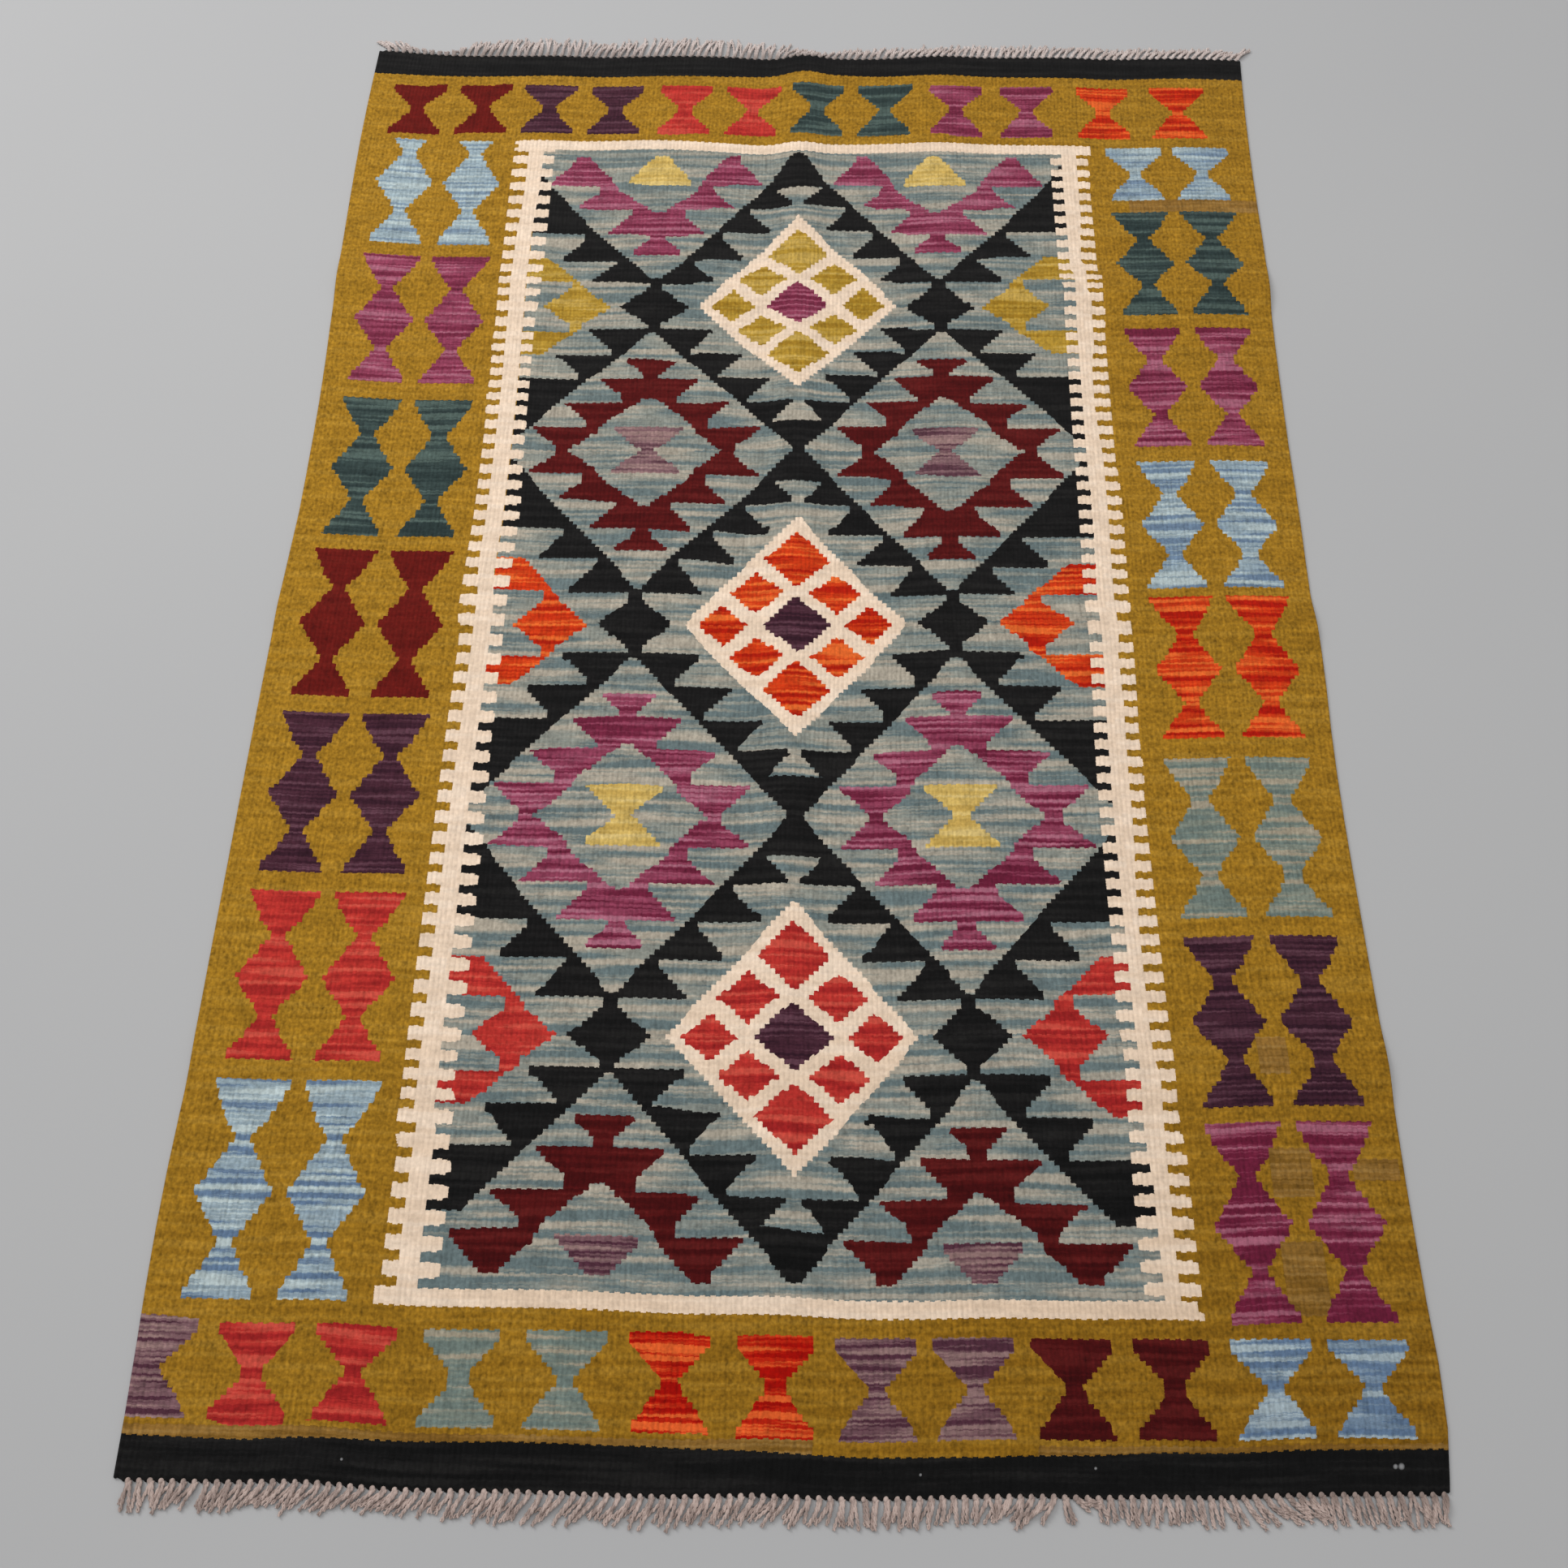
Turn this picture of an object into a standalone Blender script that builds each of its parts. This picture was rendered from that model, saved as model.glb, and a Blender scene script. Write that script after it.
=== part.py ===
"""A hand-woven kilim rug, lying flat: one flat-woven cloth with low fold creases, and a knotted fringe at each end.

Plan coordinates run from the near-left corner of the nominal cloth: across to the right, up to the far end.
The finished rug stands on Z = 0, with its box centred on the origin and its length along Y.
"""

import math
import random
from collections import namedtuple

import bmesh
import bpy

# The cloth
RUG_WIDTH = 1.000
RUG_LENGTH = 1.505
CLOTH_THICKNESS = 0.003
GRID_STEP = 0.055

# The fringe: pairs of warps knotted against the last weft, then twisted together
WARP_PITCH = RUG_WIDTH / 240
WARPS_PER_STRAND = 2
STRANDS = round(RUG_WIDTH / (WARP_PITCH * WARPS_PER_STRAND))
KNOT_GAP = 0.0003
KNOT_DEPTH = 0.0032
KNOT_HEIGHT = 0.0031
KNOT_VALLEY = 0.0019
STRAND_WIDTH = 0.0026
STRAND_HEIGHT = 0.0022
TIP_SHARE = 0.62
STRAND_RINGS = 4
LEAN_SCATTER = 3.0
REACH_SCATTER = 0.10
SETTLE_SHARE = 0.5

# How far each edge of the cloth stands out from the nominal rectangle, along that edge
EdgePoint = namedtuple("EdgePoint", "along out")
NEAR_EDGE = (
    EdgePoint(along=0.000, out=0.0074),
    EdgePoint(along=0.090, out=0.0073),
    EdgePoint(along=0.140, out=0.0062),
    EdgePoint(along=0.210, out=0.0101),
    EdgePoint(along=0.300, out=0.0099),
    EdgePoint(along=0.410, out=0.0113),
    EdgePoint(along=0.480, out=0.0093),
    EdgePoint(along=0.560, out=0.0101),
    EdgePoint(along=0.680, out=0.0058),
    EdgePoint(along=0.740, out=0.0057),
    EdgePoint(along=0.780, out=0.0044),
    EdgePoint(along=0.830, out=0.0042),
    EdgePoint(along=0.890, out=0.0008),
    EdgePoint(along=1.000, out=-0.0018),
)
FAR_EDGE = (
    EdgePoint(along=0.000, out=0.0015),
    EdgePoint(along=0.090, out=-0.0054),
    EdgePoint(along=0.160, out=-0.0047),
    EdgePoint(along=0.205, out=-0.0032),
    EdgePoint(along=0.260, out=-0.0046),
    EdgePoint(along=0.350, out=-0.0004),
    EdgePoint(along=0.410, out=-0.0012),
    EdgePoint(along=0.450, out=-0.0036),
    EdgePoint(along=0.490, out=-0.0006),
    EdgePoint(along=0.570, out=-0.0006),
    EdgePoint(along=0.640, out=0.0050),
    EdgePoint(along=0.720, out=0.0054),
    EdgePoint(along=0.800, out=0.0071),
    EdgePoint(along=0.850, out=0.0053),
    EdgePoint(along=0.930, out=0.0090),
    EdgePoint(along=1.000, out=0.0072),
)
LEFT_EDGE = (
    EdgePoint(along=0.000, out=0.0022),
    EdgePoint(along=0.060, out=0.0024),
    EdgePoint(along=0.160, out=0.0046),
    EdgePoint(along=0.240, out=0.0039),
    EdgePoint(along=0.310, out=0.0011),
    EdgePoint(along=0.360, out=0.0015),
    EdgePoint(along=0.500, out=0.0005),
    EdgePoint(along=0.620, out=-0.0004),
    EdgePoint(along=0.720, out=-0.0018),
    EdgePoint(along=0.800, out=-0.0036),
    EdgePoint(along=0.860, out=-0.0066),
    EdgePoint(along=1.010, out=-0.0069),
    EdgePoint(along=1.100, out=-0.0042),
    EdgePoint(along=1.180, out=-0.0020),
    EdgePoint(along=1.340, out=-0.0002),
    EdgePoint(along=1.420, out=-0.0012),
    EdgePoint(along=1.505, out=-0.0038),
)
RIGHT_EDGE = (
    EdgePoint(along=0.000, out=0.0005),
    EdgePoint(along=0.030, out=0.0042),
    EdgePoint(along=0.065, out=0.0072),
    EdgePoint(along=0.130, out=0.0042),
    EdgePoint(along=0.220, out=0.0016),
    EdgePoint(along=0.320, out=0.0004),
    EdgePoint(along=0.420, out=-0.0026),
    EdgePoint(along=0.540, out=-0.0060),
    EdgePoint(along=0.620, out=-0.0066),
    EdgePoint(along=0.720, out=-0.0045),
    EdgePoint(along=0.780, out=-0.0074),
    EdgePoint(along=0.880, out=-0.0071),
    EdgePoint(along=0.970, out=-0.0079),
    EdgePoint(along=1.100, out=-0.0067),
    EdgePoint(along=1.210, out=-0.0040),
    EdgePoint(along=1.320, out=-0.0047),
    EdgePoint(along=1.430, out=-0.0031),
    EdgePoint(along=1.505, out=-0.0002),
)

# Where the rug was folded for the shelf, it stands a little off the floor. A lengthwise crease rises from the near
# end to the far one, and a crosswise crease from left to right.
Crease = namedtuple("Crease", "runs at half_width height_from height_to")
CREASES = (
    Crease(runs="lengthwise", at=0.495, half_width=0.035, height_from=0.0030, height_to=0.0042),
    Crease(runs="lengthwise", at=0.655, half_width=0.045, height_from=0.0000, height_to=0.0012),
    Crease(runs="crosswise", at=0.325, half_width=0.040, height_from=0.0015, height_to=0.0038),
    Crease(runs="crosswise", at=0.755, half_width=0.032, height_from=0.0016, height_to=0.0028),
    Crease(runs="crosswise", at=1.165, half_width=0.040, height_from=0.0030, height_to=0.0042),
)
CREASE_STATIONS = (-1.0, -0.6, -0.25, 0.0, 0.25, 0.6, 1.0)

# Which way the fringe was brushed: lean in degrees from straight out, to the right where positive, and the length
FringeRow = namedtuple("FringeRow", "across lean reach")
NEAR_FRINGE = (
    FringeRow(across=0.000, lean=-8, reach=0.0225),
    FringeRow(across=0.025, lean=-4, reach=0.0205),
    FringeRow(across=0.045, lean=-30, reach=0.0215),
    FringeRow(across=0.058, lean=-52, reach=0.0230),
    FringeRow(across=0.070, lean=-26, reach=0.0200),
    FringeRow(across=0.100, lean=-46, reach=0.0240),
    FringeRow(across=0.160, lean=-50, reach=0.0245),
    FringeRow(across=0.215, lean=-54, reach=0.0235),
    FringeRow(across=0.240, lean=-28, reach=0.0200),
    FringeRow(across=0.300, lean=-48, reach=0.0235),
    FringeRow(across=0.400, lean=-45, reach=0.0230),
    FringeRow(across=0.450, lean=-34, reach=0.0210),
    FringeRow(across=0.485, lean=-46, reach=0.0220),
    FringeRow(across=0.530, lean=-20, reach=0.0200),
    FringeRow(across=0.565, lean=-8, reach=0.0195),
    FringeRow(across=0.610, lean=-24, reach=0.0200),
    FringeRow(across=0.645, lean=-2, reach=0.0185),
    FringeRow(across=0.675, lean=-40, reach=0.0220),
    FringeRow(across=0.705, lean=-44, reach=0.0220),
    FringeRow(across=0.722, lean=60, reach=0.0120),
    FringeRow(across=0.740, lean=6, reach=0.0160),
    FringeRow(across=0.780, lean=2, reach=0.0190),
    FringeRow(across=0.820, lean=20, reach=0.0200),
    FringeRow(across=0.850, lean=46, reach=0.0240),
    FringeRow(across=0.885, lean=44, reach=0.0240),
    FringeRow(across=0.905, lean=10, reach=0.0210),
    FringeRow(across=0.950, lean=8, reach=0.0220),
    FringeRow(across=1.000, lean=16, reach=0.0215),
)
FAR_FRINGE = (
    FringeRow(across=0.000, lean=-54, reach=0.0260),
    FringeRow(across=0.030, lean=-40, reach=0.0200),
    FringeRow(across=0.055, lean=-30, reach=0.0080),
    FringeRow(across=0.085, lean=0, reach=0.0070),
    FringeRow(across=0.110, lean=14, reach=0.0220),
    FringeRow(across=0.200, lean=8, reach=0.0270),
    FringeRow(across=0.260, lean=20, reach=0.0250),
    FringeRow(across=0.330, lean=14, reach=0.0290),
    FringeRow(across=0.400, lean=10, reach=0.0270),
    FringeRow(across=0.460, lean=10, reach=0.0250),
    FringeRow(across=0.485, lean=46, reach=0.0190),
    FringeRow(across=0.510, lean=36, reach=0.0120),
    FringeRow(across=0.560, lean=26, reach=0.0180),
    FringeRow(across=0.640, lean=36, reach=0.0190),
    FringeRow(across=0.720, lean=20, reach=0.0190),
    FringeRow(across=0.800, lean=38, reach=0.0200),
    FringeRow(across=0.880, lean=34, reach=0.0190),
    FringeRow(across=0.950, lean=40, reach=0.0200),
    FringeRow(across=1.000, lean=62, reach=0.0220),
)

# Each fringed end: which way is out along Y, how its strands lie, and the seed of their scatter
RugEnd = namedtuple("RugEnd", "name outward rows seed")
ENDS = (
    RugEnd(name="fringe_near", outward=-1, rows=NEAR_FRINGE, seed=11),
    RugEnd(name="fringe_far", outward=1, rows=FAR_FRINGE, seed=23),
)


def clear_scene():
    for old in list(bpy.data.objects):
        bpy.data.objects.remove(old)


def curve_value(rows, place, column):
    """The value in a table's column at a place along its first column, on a smooth curve through the rows."""
    places = [row[0] for row in rows]
    values = [getattr(row, column) for row in rows]
    place = min(max(place, places[0]), places[-1])
    last = len(rows) - 1
    i = max(k for k in range(last) if places[k] <= place)

    def slope(k):
        low, high = max(k - 1, 0), min(k + 1, last)
        return (values[high] - values[low]) / (places[high] - places[low])

    span = places[i + 1] - places[i]
    t = (place - places[i]) / span
    ease = t * t * (3 - 2 * t)
    start_pull = t * (1 - t) * (1 - t) * span * slope(i)
    end_pull = t * t * (1 - t) * span * slope(i + 1)
    return values[i] * (1 - ease) + values[i + 1] * ease + start_pull - end_pull


def lift(across, up):
    """How far a crease holds the cloth off the floor at a place in the plan."""
    height = 0.0
    for crease in CREASES:
        lengthwise = crease.runs == "lengthwise"
        off = (across if lengthwise else up) - crease.at
        share = up / RUG_LENGTH if lengthwise else across / RUG_WIDTH
        share = min(max(share, 0.0), 1.0)
        top = crease.height_from + (crease.height_to - crease.height_from) * share
        s = min(abs(off) / crease.half_width, 1.0)
        height = max(height, top * (1 - s * s) ** 2)
    return height


def on_cloth(across, up):
    """A place of the nominal rectangle, moved so that the rectangle's sides follow the real edges."""
    x_share = across / RUG_WIDTH
    y_share = up / RUG_LENGTH
    left = -curve_value(LEFT_EDGE, up, "out")
    right = curve_value(RIGHT_EDGE, up, "out")
    near = -curve_value(NEAR_EDGE, across, "out")
    far = curve_value(FAR_EDGE, across, "out")
    return (
        across + left * (1 - x_share) + right * x_share,
        up + near * (1 - y_share) + far * y_share,
    )


def stations(length, runs):
    """Grid lines along one side: even steps, and closer ones over each crease that crosses that side."""
    count = round(length / GRID_STEP)
    even = [length * k / count for k in range(count + 1)]
    creases = [crease for crease in CREASES if crease.runs == runs]
    places = [crease.at + share * crease.half_width for crease in creases for share in CREASE_STATIONS]
    clear_of = 0.4 * GRID_STEP
    for place in even:
        on_rim = place in (0.0, length)
        if on_rim or all(abs(place - crease.at) > crease.half_width + clear_of for crease in creases):
            places.append(place)
    return sorted(places)


def rim_point(across, up, columns):
    """A point on the straight run of cloth edge between two grid lines: (x, y, height off the floor)."""
    i = max(k for k in range(len(columns) - 1) if columns[k] <= across)
    low, high = columns[i], columns[i + 1]
    share = (across - low) / (high - low)
    from_x, from_y = on_cloth(low, up)
    to_x, to_y = on_cloth(high, up)
    from_z, to_z = lift(low, up), lift(high, up)
    return (
        from_x + (to_x - from_x) * share,
        from_y + (to_y - from_y) * share,
        from_z + (to_z - from_z) * share,
    )


def new_object(name, bm, material):
    bmesh.ops.recalc_face_normals(bm, faces=bm.faces)
    mesh = bpy.data.meshes.new(name)
    bm.to_mesh(mesh)
    bm.free()
    obj = bpy.data.objects.new(name, mesh)
    bpy.context.scene.collection.objects.link(obj)
    mesh.materials.append(material)
    return obj


def yarn_material(name, color, roughness):
    material = bpy.data.materials.new(name)
    material.use_nodes = True
    shader = material.node_tree.nodes["Principled BSDF"]
    shader.inputs["Base Color"].default_value = (*color, 1.0)
    shader.inputs["Roughness"].default_value = roughness
    shader.inputs["Metallic"].default_value = 0.0
    return material


def make_cloth(material):
    """The weave's underside as a grid, which Solidify thickens upwards."""
    bm = bmesh.new()
    columns = stations(RUG_WIDTH, "lengthwise")
    rows = stations(RUG_LENGTH, "crosswise")
    grid = [[bm.verts.new((*on_cloth(x, y), lift(x, y))) for x in columns] for y in rows]
    for j in range(len(rows) - 1):
        for i in range(len(columns) - 1):
            bm.faces.new((grid[j][i], grid[j][i + 1], grid[j + 1][i + 1], grid[j + 1][i]))
    cloth = new_object("rug_cloth", bm, material)
    if cloth.data.polygons[0].normal.z < 0:
        cloth.data.flip_normals()
    thicken = cloth.modifiers.new("weave thickness", "SOLIDIFY")
    thicken.thickness = CLOTH_THICKNESS
    thicken.offset = 1.0
    return cloth


def strand_path(end, across, start, scatter):
    """The middle line of one strand on the floor, from its knot: (x, y, heading) for each ring."""
    lean = curve_value(end.rows, across, "lean") + LEAN_SCATTER * scatter.uniform(-1, 1)
    reach = curve_value(end.rows, across, "reach") * (1 + REACH_SCATTER * scatter.uniform(-1, 1))
    x, y = start
    step = reach / STRAND_RINGS
    path = []
    for ring in range(1, STRAND_RINGS + 1):
        heading = math.radians(lean) * (0.6 + 0.4 * ring / STRAND_RINGS)
        x += step * math.sin(heading)
        y += end.outward * step * math.cos(heading)
        path.append((x, y, heading))
    return path


def make_strand(bm, end, across, root, scatter):
    """Three-sided rings from the root's corners (left, right, top) out to the cut end, settling on the floor."""
    ring = root
    start = root[2].co
    root_floor = root[0].co.z
    for k, (x, y, heading) in enumerate(strand_path(end, across, start.xy, scatter), start=1):
        done = k / STRAND_RINGS
        size = 1 - (1 - TIP_SHARE) * done
        floor = root_floor * max(0.0, 1 - done / SETTLE_SHARE)
        side_x = 0.5 * STRAND_WIDTH * size * math.cos(heading)
        side_y = -0.5 * STRAND_WIDTH * size * math.sin(heading) * end.outward
        step = (
            bm.verts.new((x - side_x, y - side_y, floor)),
            bm.verts.new((x + side_x, y + side_y, floor)),
            bm.verts.new((x, y, floor + STRAND_HEIGHT * size)),
        )
        for a in range(3):
            b = (a + 1) % 3
            bm.faces.new((ring[a], ring[b], step[b], step[a]))
        ring = step
    bm.faces.new(ring)


def make_fringe(end, material):
    """The row of knots as one narrow strip beside the cloth's end, with a strand out of every knot."""
    bm = bmesh.new()
    scatter = random.Random(end.seed)
    pitch = RUG_WIDTH / STRANDS
    up = 0.0 if end.outward < 0 else RUG_LENGTH
    back = end.outward * KNOT_GAP
    front = end.outward * (KNOT_GAP + KNOT_DEPTH)
    half = 0.5 * STRAND_WIDTH
    columns = stations(RUG_WIDTH, "lengthwise")
    knots = []
    for k in range(STRANDS):
        across = (k + 0.5) * pitch
        x, y, floor = rim_point(across, up, columns)
        root = (
            bm.verts.new((x - half, y + front, floor)),
            bm.verts.new((x + half, y + front, floor)),
            bm.verts.new((x, y + front, floor + KNOT_HEIGHT)),
        )
        back_low = bm.verts.new((x, y + back, floor))
        back_top = bm.verts.new((x, y + back, floor + KNOT_HEIGHT))
        make_strand(bm, end, across, root, scatter)
        bm.faces.new((root[0], root[1], back_low))
        knots.append((root, back_low, back_top, across))
    for here, after in zip(knots, knots[1:]):
        root, back_low, back_top, across = here
        next_root, next_low, next_top, _ = after
        x, y, floor = rim_point(across + 0.5 * pitch, up, columns)
        valley = bm.verts.new((x, y + front, floor + KNOT_VALLEY))
        bm.faces.new((root[1], next_root[0], valley))
        bm.faces.new((root[1], valley, root[2]))
        bm.faces.new((next_root[0], next_root[2], valley))
        bm.faces.new((root[2], valley, back_top))
        bm.faces.new((valley, next_top, back_top))
        bm.faces.new((valley, next_root[2], next_top))
        bm.faces.new((root[1], next_root[0], next_low, back_low))
        bm.faces.new((back_low, next_low, next_top, back_top))
    for (root, back_low, back_top, _), corner in ((knots[0], 0), (knots[-1], 1)):
        bm.faces.new((root[corner], root[2], back_top, back_low))
    return new_object(end.name, bm, material)


def centre_on_origin(pieces):
    """Moves the pieces together, so that the box round them all stands on the origin."""
    bpy.context.view_layer.update()
    points = [piece.matrix_world @ vertex.co for piece in pieces for vertex in piece.data.vertices]
    middle_x = 0.5 * (min(p.x for p in points) + max(p.x for p in points))
    middle_y = 0.5 * (min(p.y for p in points) + max(p.y for p in points))
    for piece in pieces:
        piece.location = (-middle_x, -middle_y, 0.0)


def main():
    clear_scene()
    wool = yarn_material("kilim_wool", (0.36, 0.20, 0.035), 0.92)
    warp = yarn_material("warp_yarn", (0.56, 0.42, 0.36), 0.88)
    pieces = [make_cloth(wool)]
    pieces += [make_fringe(end, warp) for end in ENDS]
    centre_on_origin(pieces)


main()
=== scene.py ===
# %% [markdown]
# # A flat-woven kilim rug on the floor
#
# The rug is about 1.0 m wide and 1.5 m long. It is a kilim, which has no pile: coloured wool wefts are
# packed so tightly over the white warps that only the wefts show. Each patch of colour is its own little
# weft that turns back at the patch's edge, so every outline climbs in small steps, one warp at a time. The
# lesson builds the rug in the order in which a weaver would meet it: the cloth, its pattern, the knotted
# fringe, and then the floor and light.

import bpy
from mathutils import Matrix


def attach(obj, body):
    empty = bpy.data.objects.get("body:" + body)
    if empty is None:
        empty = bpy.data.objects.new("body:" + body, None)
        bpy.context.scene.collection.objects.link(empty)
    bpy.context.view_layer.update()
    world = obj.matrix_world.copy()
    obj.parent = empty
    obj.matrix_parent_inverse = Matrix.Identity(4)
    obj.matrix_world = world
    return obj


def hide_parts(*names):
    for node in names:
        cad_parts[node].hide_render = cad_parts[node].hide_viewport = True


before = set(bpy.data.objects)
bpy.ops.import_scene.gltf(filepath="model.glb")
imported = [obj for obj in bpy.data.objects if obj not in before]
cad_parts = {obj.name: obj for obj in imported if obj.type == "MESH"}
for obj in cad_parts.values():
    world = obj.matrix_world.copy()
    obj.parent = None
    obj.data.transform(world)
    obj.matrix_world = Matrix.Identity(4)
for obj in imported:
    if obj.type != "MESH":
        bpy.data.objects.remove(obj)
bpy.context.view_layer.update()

import math
import random

import bpy
import numpy as np
from mathutils import Matrix, Vector

# %% [markdown]
# ## Two ways to say where a place on the rug is
#
# The loom gives every point an address: how far across the warps it is, and how far up the weaving. On the
# loom the rug is a true rectangle, so the pattern is easy to write there. On the floor the same rug is a
# little uneven. The tables below say how far each edge strays from the rectangle, and a smooth curve runs
# through their rows. Tables are in millimetres, and Blender's own lengths in metres.

# %% The loom's rectangle and the rug's real edges
WIDTH = 1.000
LENGTH = 1.505
THICKNESS = 0.003
WARPS = 240
WARP = WIDTH / WARPS
WIDTH_MM, LENGTH_MM, WARP_MM = WIDTH * 1000, LENGTH * 1000, WARP * 1000
NEAR_LEFT = Vector((-0.500536, -0.751974, 0.0))

# place along the edge, how far outwards the edge strays there, in millimetres
NEAR_EDGE = (
    (0, 7.4), (90, 7.3), (140, 6.2), (210, 10.1), (300, 9.9), (410, 11.3), (480, 9.3), (560, 10.1),
    (680, 5.8), (740, 5.7), (780, 4.4), (830, 4.2), (890, 0.8), (1000, -1.8))
FAR_EDGE = (
    (0, 1.5), (90, -5.4), (160, -4.7), (205, -3.2), (260, -4.6), (350, -0.4), (410, -1.2), (450, -3.6),
    (490, -0.6), (570, -0.6), (640, 5), (720, 5.4), (800, 7.1), (850, 5.3), (930, 9), (1000, 7.2))
LEFT_EDGE = (
    (0, 2.2), (60, 2.4), (160, 4.6), (240, 3.9), (310, 1.1), (360, 1.5), (500, 0.5), (620, -0.4),
    (720, -1.8), (800, -3.6), (860, -6.6), (1010, -6.9), (1100, -4.2), (1180, -2), (1340, -0.2),
    (1420, -1.2), (1505, -3.8))
RIGHT_EDGE = (
    (0, 0.5), (30, 4.2), (65, 7.2), (130, 4.2), (220, 1.6), (320, 0.4), (420, -2.6), (540, -6),
    (620, -6.6), (720, -4.5), (780, -7.4), (880, -7.1), (970, -7.9), (1100, -6.7), (1210, -4),
    (1320, -4.7), (1430, -3.1), (1505, -0.2))


def smooth_table(rows, place, column=1):
    """Reads a table at one place or at many, on a smooth curve through its rows."""
    xs = np.array([row[0] for row in rows])
    ys = np.array([row[column] for row in rows])
    place = np.clip(place, xs[0], xs[-1])
    last = len(xs) - 1
    i = np.clip(np.searchsorted(xs, place, side="right") - 1, 0, last - 1)
    low = np.maximum(np.arange(last + 1) - 1, 0)
    high = np.minimum(np.arange(last + 1) + 1, last)
    slope = (ys[high] - ys[low]) / (xs[high] - xs[low])
    span = xs[i + 1] - xs[i]
    t = (place - xs[i]) / span
    ease = t * t * (3 - 2 * t)
    pull = t * (1 - t) ** 2 * span * slope[i] - t * t * (1 - t) * span * slope[i + 1]
    return ys[i] * (1 - ease) + ys[i + 1] * ease + pull


def to_floor(x, y):
    """Moves places of the loom's rectangle to where they lie on the floor."""
    x_share, y_share = x / WIDTH, y / LENGTH
    left, right = (smooth_table(edge, y * 1000) / 1000 for edge in (LEFT_EDGE, RIGHT_EDGE))
    near, far = (smooth_table(edge, x * 1000) / 1000 for edge in (NEAR_EDGE, FAR_EDGE))
    moved_x = x - left * (1 - x_share) + right * x_share
    moved_y = y - near * (1 - y_share) + far * y_share
    return moved_x + NEAR_LEFT.x, moved_y + NEAR_LEFT.y


left, near = to_floor(0.0, 0.0)
right, far = to_floor(WIDTH, LENGTH)
print(f"corners of the cloth on the floor: ({left:.4f}, {near:.4f}) and ({right:.4f}, {far:.4f})")

# %% [markdown]
# ## The folds that the rug remembers
#
# The rug was folded on a shelf. Two creases along it and three across it still stand up to a few
# millimetres off the floor, and catch the light. Cloth simulation would lose these exact places, so each
# crease is a smooth low ridge with a place, a half width and a height at either end.

# %% How high the creases stand
# in metres: runs along, place, half width, height at its start, height at its end
CREASES = (
    ("length", 0.495, 0.035, 0.0030, 0.0042),
    ("length", 0.655, 0.045, 0.0000, 0.0012),
    ("width", 0.325, 0.040, 0.0015, 0.0038),
    ("width", 0.755, 0.032, 0.0016, 0.0028),
    ("width", 1.165, 0.040, 0.0030, 0.0042),
)


def crease_lift(x, y):
    """How far the cloth stands off the floor at places on the loom."""
    height = np.zeros_like(x + y)
    for runs, place, half_width, start, end in CREASES:
        off = (x if runs == "length" else y) - place
        share = np.clip(y / LENGTH if runs == "length" else x / WIDTH, 0, 1)
        s = np.minimum(np.abs(off) / half_width, 1)
        height = np.maximum(height, (start + (end - start) * share) * (1 - s * s) ** 2)
    return height


print("tallest crease", round(max(max(crease[3:]) for crease in CREASES) * 1000, 1), "mm")

# %% [markdown]
# ## The cloth
#
# A kilim is one even sheet, so a grid does it: four columns of points for every warp on the face, fewer on
# the underside, and rows only as close as the creases need. At the rim the two faces meet halfway up in a
# rounded edge. The fringe knots pull the two ends in at each pair of warps, so the last black wefts bulge out
# between the knots; the black bulges also stand in for the shade that falls between the knots. The corners
# are a little rounded by wear.
#
# The cloth carries two UV maps. `loom` is its address on the loom in millimetres, which the pattern reads.
# `OFBake` lays the face, and smaller the underside, side by side for anyone who bakes the pattern to a
# picture.

# %% Points of the cloth
# in metres: width of the rounded rim, how far the black bulges out between the knots, partly a real bulge and
# partly a dark stand-in for the shade there, how deep that reaches, worn corner
RIM = 0.0020
BULGE_AND_SHADE = 0.0015
BULGE_AND_SHADE_REACH = 0.003
CORNER = 0.0045
KNOT_PITCH = 2 * WARP
# how high up the thickness the two faces meet
RIM_HEIGHT = 0.42
COLUMNS_A_WARP = 4
ROW_STEP = 0.045
RIM_LINES = (0.0, 0.0003, 0.0009, 0.0020)
END_LINES = RIM_LINES + (0.0045, 0.0100)


def rim_share(inward):
    """From RIM_HEIGHT at the very rim to 1 where the cloth has its full thickness."""
    d = np.clip(inward / RIM, 0, 1)
    return RIM_HEIGHT + (1 - RIM_HEIGHT) * np.sqrt(1 - (1 - d) ** 2)


def loom_lines(length, step, ridges, rim):
    """Grid lines along one side: an even run, closer over creases, closest at the rim."""
    lines = list(np.linspace(0, length, round(length / step) + 1))
    for runs, place, half_width, start, end in ridges:
        lines = [v for v in lines if abs(v - place) > half_width * 1.05]
        lines += [place + half_width * fifth / 5 for fifth in range(-5, 6)]
    lines = [v for v in lines if rim[-1] * 1.5 < v < length - rim[-1] * 1.5]
    return np.array(sorted(lines + list(rim) + [length - v for v in rim]))


rows = loom_lines(LENGTH, ROW_STEP, [ridge for ridge in CREASES if ridge[0] == "width"], END_LINES)
face_columns = loom_lines(WIDTH, WARP / COLUMNS_A_WARP, (), RIM_LINES)
inner = range(len(RIM_LINES), len(face_columns) - len(RIM_LINES))
back_ids = [i for i in range(len(face_columns)) if i not in inner or i % COLUMNS_A_WARP == 0]
print(len(face_columns), "columns on the face,", len(back_ids), "on the underside,", len(rows), "rows")


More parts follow.
